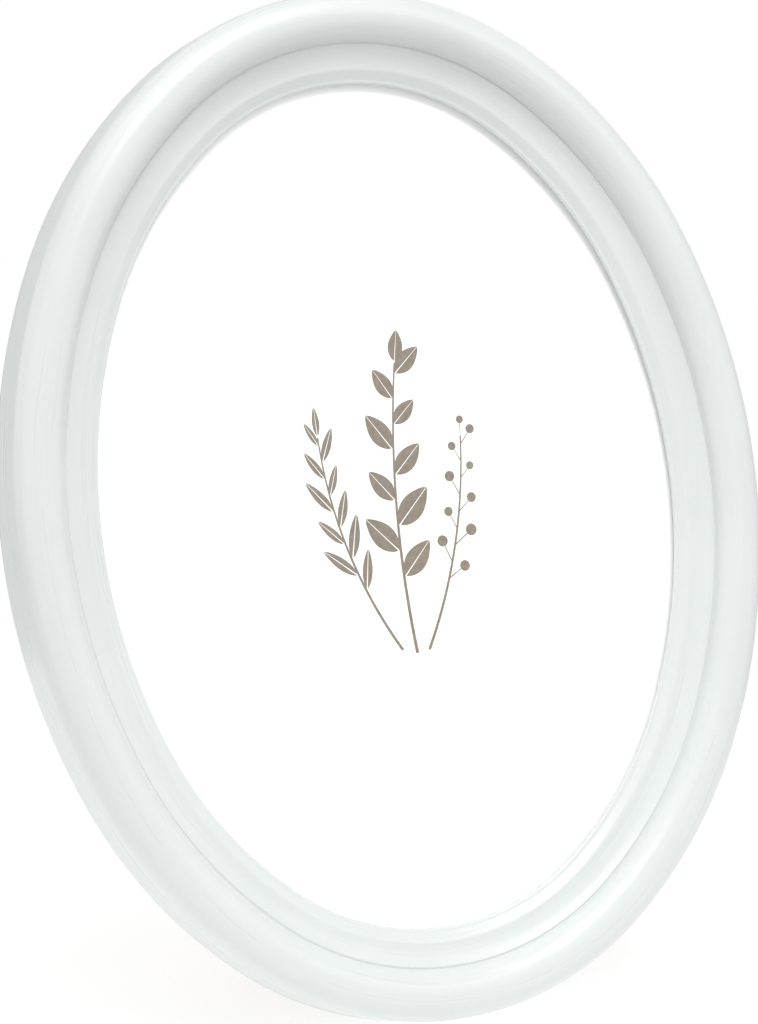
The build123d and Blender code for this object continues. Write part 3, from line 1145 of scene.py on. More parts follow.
@dataclass
class Moulding:
    """The painted wooden moulding, in four segments that meet at glued joints."""

    rebate_offset: float = 5.0
    rebate_depth: float = 8.75
    lip_front: float = 9.65
    lip_edge: float = 9.05
    lip_width: float = 0.9
    step_end: float = 3.0
    step_top: float = 11.0
    cove_end: float = 8.5
    cove_top: float = 12.7
    groove_floor: float = 12.63
    bead_radius: float = 5.85
    bead_offset: float = 14.65
    bead_middle: float = 11.65
    width: float = 20.5
    back_edge: float = 1.5
    back_splits: Flat = (3.0, 7.0)
    wall_step: float = 2.4
    nose_steps: int = 8
    cove_steps: int = 8
    bead_steps: int = 26
    edge_steps: int = 5
    lip_rounding: float = 0.32
    step_rounding: float = 0.40
    cove_rounding: float = 0.16
    groove_rounding: float = 0.04
    sight_rounding: float = 0.25
    rebate_rounding: float = 0.35
    rounding_faces: int = 3
    joint: float = 45.0
    turn_step: float = 0.8
    waviness: float = 0.10
    wave_length: float = 17.0
    wave_start: float = 0.2
    wave_rise: float = 2.0
    point_gap: float = 0.01
    turn_gap: float = 1e-3
    finish: WhitePaint = field(default_factory=WhitePaint)

    def section(self) -> list[Flat]:
        """Draws the section, from the back face round the lip to the bead and the outer wall.

        Returns:
            Points of offset from the sight edge and height over the back face.
        """
        rise = self.cove_top - self.step_top
        run = self.cove_end - self.step_end
        cove_radius = (run**2 + rise**2) / (2 * rise)
        cove_turn = math.degrees(math.asin(run / cove_radius))
        bead_rise = self.groove_floor - self.bead_middle
        bead_turn = math.degrees(math.asin(bead_rise / self.bead_radius))
        nose_drop = self.lip_front - self.lip_edge
        nose = [
            (self.lip_width * (1 + x), self.lip_edge + nose_drop * y)
            for x, y in swing((0, 0), 1, 180, 90, self.nose_steps)
        ]
        cove = (self.step_end, self.step_top + cove_radius)
        bead = (self.bead_offset, self.bead_middle)
        cove_line = swing(cove, cove_radius, -90, cove_turn - 90, self.cove_steps)
        bead_line = swing(bead, self.bead_radius, 180 - bead_turn, 0, self.bead_steps)
        edge = (self.width - self.back_edge, self.back_edge)
        back = [(edge[0] - split, 0.0) for split in self.back_splits]
        wall = [(self.width, self.bead_middle - self.wall_step * step) for step in (1, 2, 3)]
        return [
            *back,
            (self.rebate_offset, 0.0),
            (self.rebate_offset, self.rebate_depth),
            (0.0, self.rebate_depth),
            *nose,
            *cove_line,
            (self.cove_end, self.groove_floor),
            *bead_line,
            *wall,
            *swing(edge, self.back_edge, 0, -90, self.edge_steps),
        ]

    def soften(self, section: Piece, first: float) -> None:
        """Rounds the corners of a drawn section, as thick paint does.

        Args:
            section: The section.
            first: Direction that it is drawn at.
        """
        corners = [
            (self.lip_width, self.lip_front, self.lip_rounding),
            (self.step_end, self.step_top, self.step_rounding),
            (self.cove_end, self.cove_top, self.cove_rounding),
            (self.cove_end, self.groove_floor, self.groove_rounding),
            (0.0, self.rebate_depth, self.sight_rounding),
            (self.rebate_offset, 0.0, self.rebate_rounding),
        ]
        for offset, height, radius in corners:
            x, z = OVAL.point(first, offset)
            corner = Vector((x, -height, z))
            Bench.pick(section, lambda point: (point - corner).length < self.point_gap)
            faces = self.rounding_faces
            bpy.ops.mesh.bevel(offset=radius * MM, segments=faces, affect="VERTICES")

    def segment(self, name: str, first: float, last: float) -> Piece:
        """Makes one segment of the moulding.

        Args:
            name: Name of the new piece.
            first: Direction of its first joint, in degrees.
            last: Direction of its last joint.

        Returns:
            The new piece, upright.
        """
        line = []
        for offset, height in self.section():
            x, z = OVAL.point(first, offset)
            line.append(Vector((x, -height, z)))
        piece = Bench.trace(name, line, closed=True)
        self.soften(piece, first)
        Bench.edit(piece)
        for arc, start, finish in OVAL.stretches(first, last):
            steps = math.ceil((finish - start) / self.turn_step)
            turn = math.radians(finish - start)
            middle = (arc.x * MM, 0, arc.z * MM)
            bpy.ops.mesh.spin(steps=steps, angle=turn, center=middle, axis=(0, 1, 0))
        Bench.close(piece)
        self.mark_brush(piece, first, last)
        self.ripple(piece)
        Bench.edit(piece)
        bpy.ops.mesh.select_all(action="DESELECT")
        bpy.ops.mesh.select_non_manifold(extend=False)
        bpy.ops.mesh.fill_holes(sides=0)
        Bench.close(piece)
        Bench.smooth(piece)
        return piece

    def mark_brush(self, piece: Piece, first: float, last: float) -> None:
        """Stores for each point how far it lies along the run, across it and over the back.

        The run is counted both ways from the first joint, so that no mark breaks at a joint.

        Args:
            piece: A segment, upright.
            first: Direction of its first joint, in degrees.
            last: Direction of its last joint.
        """
        marks = piece.data.attributes.new(BRUSH, "FLOAT_VECTOR", "POINT")
        stretches = OVAL.stretches(first, last)
        whole = OVAL.length(self.joint, self.joint + 360)
        before = OVAL.length(self.joint, first)
        for vertex in piece.data.vertices:
            x, y, z = vertex.co / MM
            run = before
            for arc, start, finish in stretches:
                turn = math.degrees(math.atan2(z - arc.z, x - arc.x))
                turn += 360 * round(((start + finish) / 2 - turn) / 360)
                if turn <= finish + self.turn_gap:
                    run += math.radians(turn - start) * arc.radius
                    offset = math.hypot(x - arc.x, z - arc.z) - arc.radius
                    break
                run += math.radians(finish - start) * arc.radius
            run = min(run, whole - run)
            marks.data[vertex.index].vector = Vector((run, offset, -y)) * MM

    def ripple(self, piece: Piece) -> None:
        """Lets the painted face waver a little, as sanded and brushed wood does.

        Args:
            piece: A segment, upright.
        """
        group = piece.vertex_groups.new(name="painted_face")
        for vertex in piece.data.vertices:
            height = -vertex.co.y / MM - self.rebate_depth - self.wave_start
            share = min(1.0, max(0.0, height / self.wave_rise))
            group.add([vertex.index], share, "REPLACE")
        clouds = bpy.data.textures.new("brushed_waver", "CLOUDS")
        clouds.noise_scale = self.wave_length * MM
        clouds.noise_depth = 1
        Bench.apply(
            piece, "DISPLACE", texture=clouds, texture_coords="LOCAL", mid_level=0.5,
            strength=self.waviness * MM, vertex_group=group.name,
        )

    def build(self) -> None:
        """Makes the four segments and stands them up."""
        a, b, c, d = self.joint, 180 - self.joint, 180 + self.joint, 360 - self.joint
        runs = {"top": (a, b), "left": (b, c), "bottom": (c, d), "right": (d, a + 360)}
        for side, (first, last) in runs.items():
            piece = self.segment(f"painted_moulding_{side}", first, last)
            Bench.settle(piece, STAND.matrix())
            Bench.dress(piece, Body.FRAME, Slot.PAINT, self.finish, f"frame_{side}")


class Growth(Enum):
    """What grows along a printed twig."""

    BROAD_LEAF = "broad_leaf"
    SLIM_LEAF = "slim_leaf"
    BERRY = "berry"


@dataclass(frozen=True)
class Twig:
    """One printed twig: its foot, length, course in degrees, and what grows along it."""

    STEPS = 40
    TAPER = 0.5

    foot: Flat
    length: float
    aim: float
    bend: float
    width: float
    first: float
    count: int
    lean: float
    shape: Growth

    def course(self, share: float) -> float:
        """Direction of the stem at a share of its length, in degrees."""
        return self.aim + self.bend * share

    def point(self, share: float) -> Vector:
        """Follows the stem to a point.

        Args:
            share: Share of its length.

        Returns:
            The point.
        """
        point = Vector((self.foot[0], 0, self.foot[1]))
        for step in range(self.STEPS):
            turn = math.radians(self.course((step + 0.5) / self.STEPS * share))
            aim = Vector((math.cos(turn), 0, math.sin(turn)))
            point += aim * self.length * share / self.STEPS
        return point

    def half_width(self, share: float) -> float:
        """Half the stem's width, which narrows towards its tip."""
        return self.width / 2 * (1 - self.TAPER * share)


@dataclass
class TwigPrint:
    """The picture: white paper printed with three twigs."""

    edge_offset: float = 4.5
    paper_front: float = -7.44
    paper_back: float = -7.25
    ink_front: float = -7.455
    ink_back: float = -7.435
    layer: float = 0.0006
    rib_width: float = 0.30
    rib_tip: float = 0.4
    leaf_gap: float = 0.7
    leaf_steps: int = 14
    leaf_fullness: float = 0.85
    broad_leaf: Flat = (11.5, 5.6)
    slim_leaf: Flat = (10.5, 2.5)
    stalk: tuple[Flat, ...] = ((0.3, -0.16), (4.4, -0.13), (4.4, 0.13), (0.3, 0.16))
    berry_place: Flat = (5.9, 0.0)
    berry_radius: float = 1.45
    last_pair: float = 0.96
    shrinking: float = 0.45
    unevenness: float = 0.08
    closing: float = 8.0
    tip_size: float = 0.62
    twigs: tuple[Twig, ...] = (
        Twig((2.0, -34.0), 66.0, 96.0, -16.0, 0.80, 0.26, 9, 46.0, Growth.BROAD_LEAF),
        Twig((-1.5, -33.0), 52.0, 122.0, -30.0, 0.70, 0.30, 10, 34.0, Growth.SLIM_LEAF),
        Twig((5.0, -33.5), 50.0, 62.0, 24.0, 0.70, 0.34, 9, 42.0, Growth.BERRY),
    )
    paper: PrintPaper = field(default_factory=PrintPaper)
    ink: PrintInk = field(default_factory=PrintInk)

    def blot(self, name: str, outline: Sequence[Flat]) -> Piece:
        """Makes one flat spot of ink from its outline."""
        return Bench.slab(name, outline, self.ink_front, self.ink_back)

    def leaf(self, shape: Growth, length: float, width: float) -> Piece:
        """Makes one leaf along X from the origin, split by its rib.

        Args:
            shape: Which leaf it is.
            length: Length of the leaf.
            width: Its greatest width.

        Returns:
            The pattern.
        """
        halves = []
        start, half_rib, full = self.leaf_gap, self.rib_width / 2, self.leaf_fullness
        for side in (1, -1):
            outline = [(start, side * half_rib)]
            for step in range(1, self.leaf_steps):
                share = step / self.leaf_steps
                bulge = math.sin(math.pi * share**full) ** full
                outline.append((start + length * share, side * (half_rib + bulge * width / 2)))
            outline.append((start + length, side * half_rib * self.rib_tip))
            halves.append(self.blot(shape.value, outline))
        return Bench.join(halves, shape.value)

    def berry(self) -> Piece:
        """Makes one berry on its stalk along X from the origin.

        Returns:
            The pattern.
        """
        name = Growth.BERRY.value
        outlines = (self.stalk, circle(self.berry_place, self.berry_radius))
        return Bench.join([self.blot(name, outline) for outline in outlines], name)

    def stem(self, twig: Twig) -> Piece:
        """Makes the stem of a twig.

        Args:
            twig: The twig.

        Returns:
            The stem.
        """
        left, right = [], []
        for step in range(Twig.STEPS + 1):
            share = step / Twig.STEPS
            middle = twig.point(share)
            turn = math.radians(twig.course(share) + 90)
            side = Vector((math.cos(turn), 0, math.sin(turn))) * twig.half_width(share)
            left.append(((middle + side).x, (middle + side).z))
            right.append(((middle - side).x, (middle - side).z))
        return self.blot("twig_stem", left + right[::-1])

    def growth(self, twig: Twig) -> list[tuple[float, float, float]]:
        """Spreads leaves or berries along a twig, smaller and closer in towards its tip.

        Args:
            twig: The twig.

        Returns:
            Place along the stem, direction in degrees and size of each.
        """
        found = []
        for index in range(twig.count):
            share = twig.first + (self.last_pair - twig.first) * index / (twig.count - 1)
            side = 1 if index % 2 else -1
            size = 1.0 - self.shrinking * share + self.unevenness * (index % 3)
            lean = twig.lean - self.closing * share
            found.append((share, twig.course(share) + side * lean, size))
        found.append((1.0, twig.course(1.0), self.tip_size))
        return found

    def ink_drawing(self) -> Piece:
        """Makes the three twigs, each part a hair in front of the last where two meet.

        Returns:
            The twigs as one piece, upright.
        """
        patterns = {
            Growth.BROAD_LEAF: self.leaf(Growth.BROAD_LEAF, *self.broad_leaf),
            Growth.SLIM_LEAF: self.leaf(Growth.SLIM_LEAF, *self.slim_leaf),
            Growth.BERRY: self.berry(),
        }
        parts = []
        for twig in self.twigs:
            parts.append(self.stem(twig))
            for share, turn, size in self.growth(twig):
                part = Bench.copy(patterns[twig.shape], "twig_part")
                place = Matrix.Translation(twig.point(share) * MM)
                aim = Matrix.Rotation(-math.radians(turn), 4, "Y")
                Bench.settle(part, place @ aim @ Matrix.Diagonal((size, 1, size, 1)))
                parts.append(part)
        for index, part in enumerate(parts):
            Bench.settle(part, Matrix.Translation((0, -index * self.layer * MM, 0)))
        for pattern in patterns.values():
            Bench.discard(pattern)
        return Bench.join(parts, "printed_twigs")

    def build(self) -> None:
        """Makes the paper and the ink on it, and stands them up behind the glass."""
        outline = OVAL.outline(self.edge_offset)
        sheet = Bench.slab("picture_sheet", outline, self.paper_front, self.paper_back)
        Bench.smooth(sheet)
        Bench.settle(sheet, STAND.matrix())
        Bench.dress(sheet, Body.FRAME, Slot.PAPER, self.paper, "picture_print")
        ink = self.ink_drawing()
        Bench.settle(ink, STAND.matrix())
        Bench.dress(ink, Body.FRAME, Slot.PAPER, self.ink)


@dataclass
class BackStack:
    """What stands behind the picture: card and backing board; and the glass in front of it."""

    edge_offset: float = 4.5
    board_front: float = -3.0
    board_easing: float = 0.35
    hole_radius: float = 1.55
    seat_radius: float = 2.85
    seat_depth: float = 0.8
    drill_reach: float = 1.0
    drill_steps: int = 32
    holes: tuple[Flat, ...] = ((-7.0, 38.5), (7.0, 38.5), (-12.5, 72.5), (12.5, 72.5))
    board: Fibreboard = field(default_factory=Fibreboard)
    glass: ClearGlass = field(default_factory=ClearGlass)
    card: GreyCard = field(default_factory=GreyCard)
    wood: BareBeech = field(default_factory=BareBeech)

    def backing(self) -> Piece:
        """Makes the backing board, with its edges eased and its rivet holes cut.

        Returns:
            The board, upright.
        """
        outline = OVAL.outline(self.edge_offset)
        piece = Bench.slab("eased_backing_board", outline, self.board_front, 0.0)
        Bench.ease(piece, self.board_easing)
        seat = self.board_front + self.seat_depth
        start = self.board_front - self.drill_reach
        drill = [
            (0.0, start),
            (self.seat_radius, start),
            (self.seat_radius, seat),
            (self.hole_radius, seat),
            (self.hole_radius, self.drill_reach),
            (0.0, self.drill_reach),
        ]
        for x, z in self.holes:
            cutter = Bench.lathe("board_drill", drill, self.drill_steps)
            Bench.settle(cutter, Matrix.Translation((x * MM, 0, z * MM)))
            Bench.cut(piece, cutter)
        Bench.smooth(piece)
        return piece

    def build(self) -> None:
        """Makes the board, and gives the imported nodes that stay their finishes."""
        stays = {"glass_pane": self.glass, "filler_card": self.card, "joint_tenons": self.wood}
        for node, finish in stays.items():
            Bench.coat(node, finish)
        board = self.backing()
        Bench.settle(board, STAND.matrix())
        Bench.dress(board, Body.FRAME, Slot.FIBREBOARD, self.board, "backing_board")


@dataclass
class TurnButtons:
    """The four turn buttons that hold the board in, and their screws."""

    direction: float = 30.0
    offset: float = 12.75
    length: float = 16.0
    width: float = 8.0
    tip_width: float = 6.0
    hole_radius: float = 1.55
    front: float = 0.1
    back: float = 1.3
    easing: float = 0.3
    seat: float = 1.4
    head_radius: float = 3.0
    head_height: float = 1.6
    shank_radius: float = 1.5
    shank_length: float = 9.0
    shank_tip: float = 1.5
    slot_width: float = 0.8
    slot_depth: float = 0.8
    slot_easing: float = 0.08
    slot_faces: int = 2
    rim: Flat = (0.05, 0.12)
    heel_steps: int = 24
    tip_steps: int = 20
    dome_steps: int = 10
    screw_steps: int = 40
    cut_reach: float = 1.0
    slot_turns: tuple[float, ...] = (24.0, -38.0, 71.0, 8.0)
    finish: ZincSteel = field(default_factory=ZincSteel)

    def corners(self) -> list[tuple[Body, float]]:
        """Spreads the buttons round the oval.

        Returns:
            The four bodies with the direction of each button.
        """
        turn = self.direction
        return [
            (Body.UPPER_RIGHT, turn),
            (Body.UPPER_LEFT, 180 - turn),
            (Body.LOWER_LEFT, 180 + turn),
            (Body.LOWER_RIGHT, 360 - turn),
        ]

    def button(self) -> Piece:
        """Makes one button with its hole on the Y axis, pointing along -X.

        Returns:
            The pattern.
        """
        half, tip = self.width / 2, self.tip_width / 2
        reach = self.length - tip
        slope = math.degrees(math.asin((half - tip) / reach))
        outline = swing((0, 0), half, slope - 90, 90 - slope, self.heel_steps)
        outline[0] = (half * math.sin(math.radians(-slope)), outline[0][1])
        outline[-1] = (outline[0][0], -outline[0][1])
        outline += swing((-reach, 0), tip, 90 + slope, 270 - slope, self.tip_steps)
        piece = Bench.slab("turn_button", outline, self.front, self.back)
        hole = circle((0, 0), self.hole_radius)
        start, end = self.front - self.cut_reach, self.back + self.cut_reach
        Bench.cut(piece, Bench.slab("button_hole", hole, start, end))
        Bench.ease(piece, self.easing)
        return piece

    def screw(self) -> Piece:
        """Makes one slotted screw on the Y axis.

        Returns:
            The pattern.
        """
        outline = [
            *domed_head(
                self.head_radius, self.head_height, self.seat, self.rim, self.dome_steps,
            ),
            (self.shank_radius, self.seat),
            (self.shank_radius, self.shank_tip - self.shank_length),
            (0.0, -self.shank_length),
        ]
        piece = Bench.lathe("button_screw", outline, self.screw_steps)
        top = self.seat + self.head_height
        reach = 2 * self.head_radius
        half = self.slot_width / 2
        slot = [(-reach, -half), (reach, -half), (reach, half), (-reach, half)]
        floor, end = top - self.slot_depth, top + self.cut_reach
        Bench.cut(piece, Bench.slab("screw_slot", slot, floor, end))
        Bench.ease(piece, self.slot_easing, self.slot_faces)
        return piece

    def build(self) -> None:
        """Makes the buttons and screws and stands them up."""
        button, screw = self.button(), self.screw()
        screws = []
        for (body, turn), slot_turn in zip(self.corners(), self.slot_turns):
            x, z = OVAL.point(turn, self.offset)
            place = STAND.matrix() @ Matrix.Translation((x * MM, 0, z * MM))
            copy = Bench.copy(button, f"steel_{body.value}")
            Bench.settle(copy, place @ Matrix.Rotation(-math.radians(turn), 4, "Y"))
            Bench.dress(copy, body, Slot.STEEL, self.finish, body.value)
            twin = Bench.copy(screw, "slotted_screw")
            Bench.settle(twin, place @ Matrix.Rotation(math.radians(slot_turn), 4, "Y"))
            screws.append(twin)
        Bench.discard(button)
        Bench.discard(screw)
        joined = Bench.join(screws, "slotted_button_screws")
        Bench.dress(joined, Body.FRAME, Slot.STEEL, self.finish, "turn_button_screws")


@dataclass
class Rivets:
    """Rivets with a domed head behind and a flat head sunk in front."""

    radius: float = 1.5
    head_radius: float = 2.8
    head_height: float = 0.8
    rim: Flat = (0.03, 0.1)
    dome_steps: int = 8
    turn_steps: int = 36

    def pair(self, name: str, front: float, back: float, places: Sequence[Flat]) -> Piece:
        """Makes one rivet and sets copies of it in their places.

        Args:
            name: Name of the new piece.
            front: Y of the flat head's face.
            back: Y of the face that the domed head sits on.
            places: X and Z of the rivets.

        Returns:
            The rivets as one piece, upright.
        """
        sunk = front + self.head_height
        outline = [
            *domed_head(self.head_radius, self.head_height, back, self.rim, self.dome_steps),
            (self.radius, back),
            (self.radius, sunk),
            (self.head_radius, sunk),
            (self.head_radius, front),
            (0.0, front),
        ]
        pattern = Bench.lathe("rivet", outline, self.turn_steps)
        Bench.smooth(pattern)
        copies = []
        for x, z in places:
            copy = Bench.copy(pattern, "rivet_copy")
            Bench.settle(copy, Matrix.Translation((x * MM, 0, z * MM)))
            copies.append(copy)
        Bench.discard(pattern)
        return Bench.join(copies, name)


@dataclass
class Easel:
    """The strut, its hinge and the rivets that hold the hinge."""

    spread: float = 22.0
    pin_y: float = 2.4
    pin_z: float = 30.0
    board_front: float = -3.0
    leaf_thickness: float = 0.8
    strut_front: float = 1.5
    strut_back: float = 4.8
    rivet_x: float = 7.0
    rivet_drop: float = 8.5
    leg_easing: float = 0.4
    leaf_easing: float = 0.16
    steel: ZincSteel = field(default_factory=ZincSteel)
    board: Fibreboard = field(default_factory=Fibreboard)

    def opened(self) -> Matrix:
        """Turns what is drawn folded flat to the open strut."""
        pin = Matrix.Translation((0, self.pin_y * MM, self.pin_z * MM))
        return pin @ Matrix.Rotation(math.radians(self.spread), 4, "X") @ pin.inverted()

    def opened_point(self, y: float, z: float) -> Flat:
        """Y and Z of a point that is drawn folded flat, on the open strut."""
        point = self.opened() @ Vector((0, y * MM, z * MM))
        return point.y / MM, point.z / MM

    def places(self, up: int) -> list[Flat]:
        """X and Z of the rivets above or below the pin."""
        z = self.pin_z + up * self.rivet_drop
        return [(-self.rivet_x, z), (self.rivet_x, z)]

    def build(self) -> None:
        """Makes the pieces of the easel."""
        leg = Bench.eased_node("strut_leg", "eased_strut_leg", self.leg_easing)
        Bench.dress(leg, Body.STRUT, Slot.FIBREBOARD, self.board, "strut_leg")
        for node, name, body in (
            ("hinge_board_leaf", "steel_board_leaf", Body.FRAME),
            ("hinge_strut_leaf", "steel_strut_leaf", Body.STRUT),
            ("hinge_pin", "steel_hinge_pin", Body.FRAME),
        ):
            piece = Bench.eased_node(node, name, self.leaf_easing)
            Bench.dress(piece, body, Slot.STEEL, self.steel, node)
        board, strut = (self.board_front, self.leaf_thickness), (self.strut_front, self.strut_back)
        upper = Rivets().pair("domed_board_rivets", *board, self.places(1))
        Bench.settle(upper, STAND.matrix())
        Bench.dress(upper, Body.FRAME, Slot.STEEL, self.steel, "hinge_board_rivets")
        lower = Rivets().pair("domed_strut_rivets", *strut, self.places(-1))
        Bench.settle(lower, STAND.matrix() @ self.opened())
        Bench.dress(lower, Body.STRUT, Slot.STEEL, self.steel, "hinge_strut_rivets")


@dataclass
class StayRibbon:
    """The woven tape that stops the strut from opening further, and its two staples."""

    easel: Easel = field(default_factory=Easel)
    width: float = 11.0
    thickness: float = 0.26
    bend_z: float = -55.0
    tab: float = 8.9
    board_middle: float = 0.17
    strut_middle: float = 1.33
    corner: float = 1.6
    columns: int = 10
    tab_steps: int = 6
    corner_steps: int = 6
    run_steps: int = 18
    fold_angle: float = 50.0
    thread: float = 0.42
    folded_share: float = 0.035
    staple_easing: float = 0.14
    tape: CottonTape = field(default_factory=CottonTape)
    steel: ZincSteel = field(default_factory=ZincSteel)

    def route(self) -> list[Vector]:
        """Lays out the tape, from the board's tab to the strut's tab.

        Returns:
            Points of its middle line.
        """
        ends = [
            (self.board_middle, self.bend_z + self.tab),
            (self.board_middle, self.bend_z),
            self.easel.opened_point(self.strut_middle, self.bend_z),
            self.easel.opened_point(self.strut_middle, self.bend_z - self.tab),
        ]
        knots = [Vector((0, y, z)) for y, z in ends]
        line = self.straight(knots[0], self.before(knots[1], knots[0]), self.tab_steps)
        for last, knot, after in zip(knots, knots[1:], knots[2:]):
            start, finish = self.before(knot, last), self.before(knot, after)
            line += self.rounded(start, knot, finish, self.corner_steps)
            if after is knots[-1]:
                line += self.straight(finish, after, self.tab_steps)
            else:
                line += self.straight(finish, self.before(after, knot), self.run_steps)
        return line

    def before(self, knot: Vector, side: Vector) -> Vector:
        """The point a corner's length before a knot, on the way from another."""
        return knot + (side - knot).normalized() * self.corner

    @staticmethod
    def straight(start: Vector, finish: Vector, steps: int) -> list[Vector]:
        """Points between two, the last left out."""
        return [start.lerp(finish, step / steps) for step in range(steps)]

    @staticmethod
    def rounded(start: Vector, knot: Vector, finish: Vector, steps: int) -> list[Vector]:
        """Points round a corner, the last left out."""
        shares = [step / steps for step in range(steps)]
        return [start.lerp(knot, s).lerp(knot.lerp(finish, s), s) for s in shares]

    def strip(self, route: Sequence[Vector]) -> Piece:
        """Makes the tape along its middle line.

        Args:
            route: The middle line.

        Returns:
            The tape, upright.
        """
        half = self.width / 2
        edge = [-half + self.width * step / self.columns for step in range(self.columns + 1)]
        piece = Bench.trace("woven_stay_ribbon", [route[0] + Vector((x, 0, 0)) for x in edge])
        for last, point in zip(route, route[1:]):
            Bench.push(point - last)
        bpy.ops.object.mode_set(mode="OBJECT")
        self.map_weave(piece, route)
        Bench.apply(piece, "SOLIDIFY", thickness=self.thickness * MM, offset=0.0)
        Bench.close(piece)
        Bench.smooth(piece, self.fold_angle)
        return piece

    def map_weave(self, piece: Piece, route: Sequence[Vector]) -> None:
        """Maps the tape flat, one unit to a thread.

        Args:
            piece: The tape before it has a thickness.
            route: Its middle line.
        """
        lengths = [0.0]
        for last, point in zip(route, route[1:]):
            lengths.append(lengths[-1] + (point - last).length)
        layer = piece.data.uv_layers.new(name=WEAVE)
        for loop in piece.data.loops:
            point = piece.data.vertices[loop.vertex_index].co / MM
            gaps = [(point.y - knot.y) ** 2 + (point.z - knot.z) ** 2 for knot in route]
            run = lengths[gaps.index(min(gaps))]
            layer.data[loop.index].uv = (point.x / self.thread, run / self.thread)

    def build(self) -> None:
        """Makes the tape and its staples."""
        route = self.route()
        tape = self.strip(route)
        Bench.settle(tape, STAND.matrix())
        Bench.dress(tape, Body.FRAME, Slot.TAPE, self.tape, "stay_ribbon")
        anchor = STAND.point(0, 0, self.bend_z)
        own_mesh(tape)
        for side, body in (("board", Body.FRAME), ("strut", Body.STRUT)):
            node = f"ribbon_{side}_staple"
            staple = Bench.eased_node(node, f"steel_{side}_staple", self.staple_easing)
            Bench.dress(staple, body, Slot.STEEL, self.steel, node)


@dataclass
class Hanger:
    """The keyhole plate for hanging the frame on a wall, and its rivets."""

    rivet_x: float = 12.5
    rivet_z: float = 72.5
    board_front: float = -3.0
    plate_thickness: float = 1.0
    easing: float = 0.22
    steel: ZincSteel = field(default_factory=ZincSteel)

    def build(self) -> None:
        """Makes the plate and its rivets."""
        plate = Bench.eased_node("hanger_plate", "pressed_hanger_plate", self.easing)
        Bench.dress(plate, Body.FRAME, Slot.STEEL, self.steel, "hanger_plate")
        places = [(-self.rivet_x, self.rivet_z), (self.rivet_x, self.rivet_z)]
        pair = Rivets().pair("domed_hanger_rivets", self.board_front, self.plate_thickness, places)
        Bench.settle(pair, STAND.matrix())
        Bench.dress(pair, Body.FRAME, Slot.STEEL, self.steel, "hanger_rivets")


@dataclass
class Softbox:
    """A soft lamp.

    Its direction, seen from the frame, is in degrees. Its power is in watts, and its distance,
    its size and the height that it is aimed at are in metres.
    """

    name: str
    azimuth: float
    elevation: float
    power: float
    distance: float = 1.5
    size: float = 0.75
    aim: float = 0.11

    def build(self) -> None:
        """Hangs the lamp."""
        away = heading(self.azimuth, self.elevation)
        place = away * self.distance + Vector((0, 0, self.aim))
        Bench.clear()
        bpy.ops.object.light_add(type="AREA", location=place)
        lamp = bpy.context.object
        lamp.name = self.name
        lamp.data.size = self.size
        lamp.data.energy = self.power
        lamp.rotation_euler = away.to_track_quat("Z", "Y").to_euler()


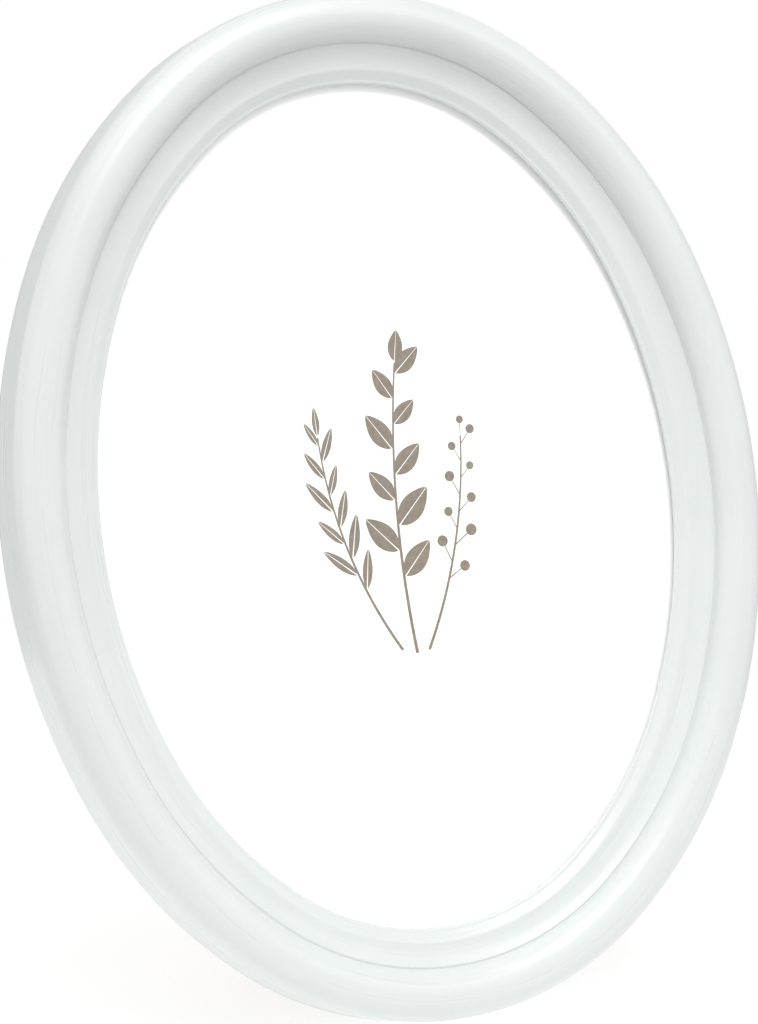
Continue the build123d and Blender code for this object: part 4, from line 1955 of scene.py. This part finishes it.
@dataclass
class Studio:
    """The pale floor, the soft light and the camera."""

    azimuth: float = -24.798
    elevation: float = 11.147
    distance: float = 822.1
    focal_pixels: float = 3658.9
    aim_right: float = 4.091
    aim_up: float = 2.085
    aim_back: float = -9.9
    clip: float = 0.01
    floor_radius: float = 0.28
    floor_sides: int = 96
    below: float = 0.82
    level: float = 0.63
    overhead: float = 0.40
    lamps: list[Softbox] = field(default_factory=lambda: [
        Softbox("softbox_above", 0, 66, 14.6),
        Softbox("softbox_left_high", -90, 66, 2.5),
        Softbox("softbox_front_right", 35, 40, 2.1),
        Softbox("softbox_right", 64, 12, 2.4, size=1.3),
        Softbox("softbox_left", -74, 12, 4.3, size=1.3),
        Softbox("softbox_behind_right", 140, 12, 1.2),
        Softbox("softbox_behind_left", -126, 12, 1.8),
        Softbox("softbox_front", -20, 12, 0.6, size=1.4),
    ])

    def floor(self) -> None:
        """Lays the floor, a wide round sheet."""
        Bench.clear()
        bpy.ops.mesh.primitive_circle_add(
            vertices=self.floor_sides, radius=self.floor_radius, fill_type="NGON",
        )
        floor = Bench.call(bpy.context.object, "studio_floor")
        Bench.edit(floor)
        bpy.ops.mesh.inset(thickness=self.floor_radius / 2)
        bpy.ops.object.mode_set(mode="OBJECT")
        floor.data.materials.append(PaleFloor().material())

    def air(self) -> None:
        """Fills the room with soft light, brighter from below, and shows it as white."""
        world = bpy.data.worlds.new("white_room")
        bpy.context.scene.world = world
        room = Nodes(world)
        room.tree.nodes.clear()
        split = room.add("SeparateXYZ")
        room.link(room.add("TexCoord").outputs["Generated"], split.inputs["Vector"])
        height = room.span(split.outputs["Z"], 0.0, 1.0, -1.0, 1.0)
        strengths = (self.below, self.level, self.overhead)
        greys = tuple(zip((0.0, 0.5, 1.0), ((strength,) * 3 for strength in strengths)))
        light = room.add("Background")
        room.link(room.shades(height, greys), light.inputs["Color"])
        white = room.add("Background", {"Color": (*WHITE, 1.0)})
        seen = room.add("LightPath").outputs["Is Camera Ray"]
        shown = room.add("OutputWorld").inputs["Surface"]
        room.blend(seen, light.outputs["Background"], white.outputs["Background"], shown)

    def camera(self) -> None:
        """Sets the camera to the photograph's viewing angle."""
        turn = math.radians(self.azimuth)
        away = heading(self.azimuth, self.elevation)
        right = Vector((math.cos(turn), math.sin(turn), 0))
        up = away.cross(right)
        middle = STAND.point(0, self.aim_back, 0)
        place = middle + (away * self.distance - right * self.aim_right - up * self.aim_up) * MM
        Bench.clear()
        bpy.ops.object.camera_add(location=place)
        camera = bpy.context.object
        camera.name = "photo_camera"
        camera.rotation_euler = Matrix((right, up, away)).transposed().to_euler()
        camera.data.sensor_fit = "VERTICAL"
        camera.data.sensor_height = SENSOR_HEIGHT
        camera.data.lens = self.focal_pixels / IMAGE_HEIGHT * SENSOR_HEIGHT
        camera.data.clip_start = self.clip
        bpy.context.scene.camera = camera

    def build(self) -> None:
        """Sets up the studio."""
        self.floor()
        self.air()
        for lamp in self.lamps:
            lamp.build()
        self.camera()
        settings = bpy.context.scene.view_settings
        settings.view_transform = "Standard"
        settings.look = "None"
        log.info("studio: floor, %d lamps and camera", len(self.lamps))


def main() -> None:
    """Builds the frame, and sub-assembly by sub-assembly."""
    logging.basicConfig(level=logging.INFO, format="%(name)s %(message)s")
    for make in (
        Studio, Moulding, TwigPrint, BackStack, TurnButtons, Easel, StayRibbon, Hanger,
    ):
        make().build()
    Bench.clear()


if __name__ == "__main__":
    main()
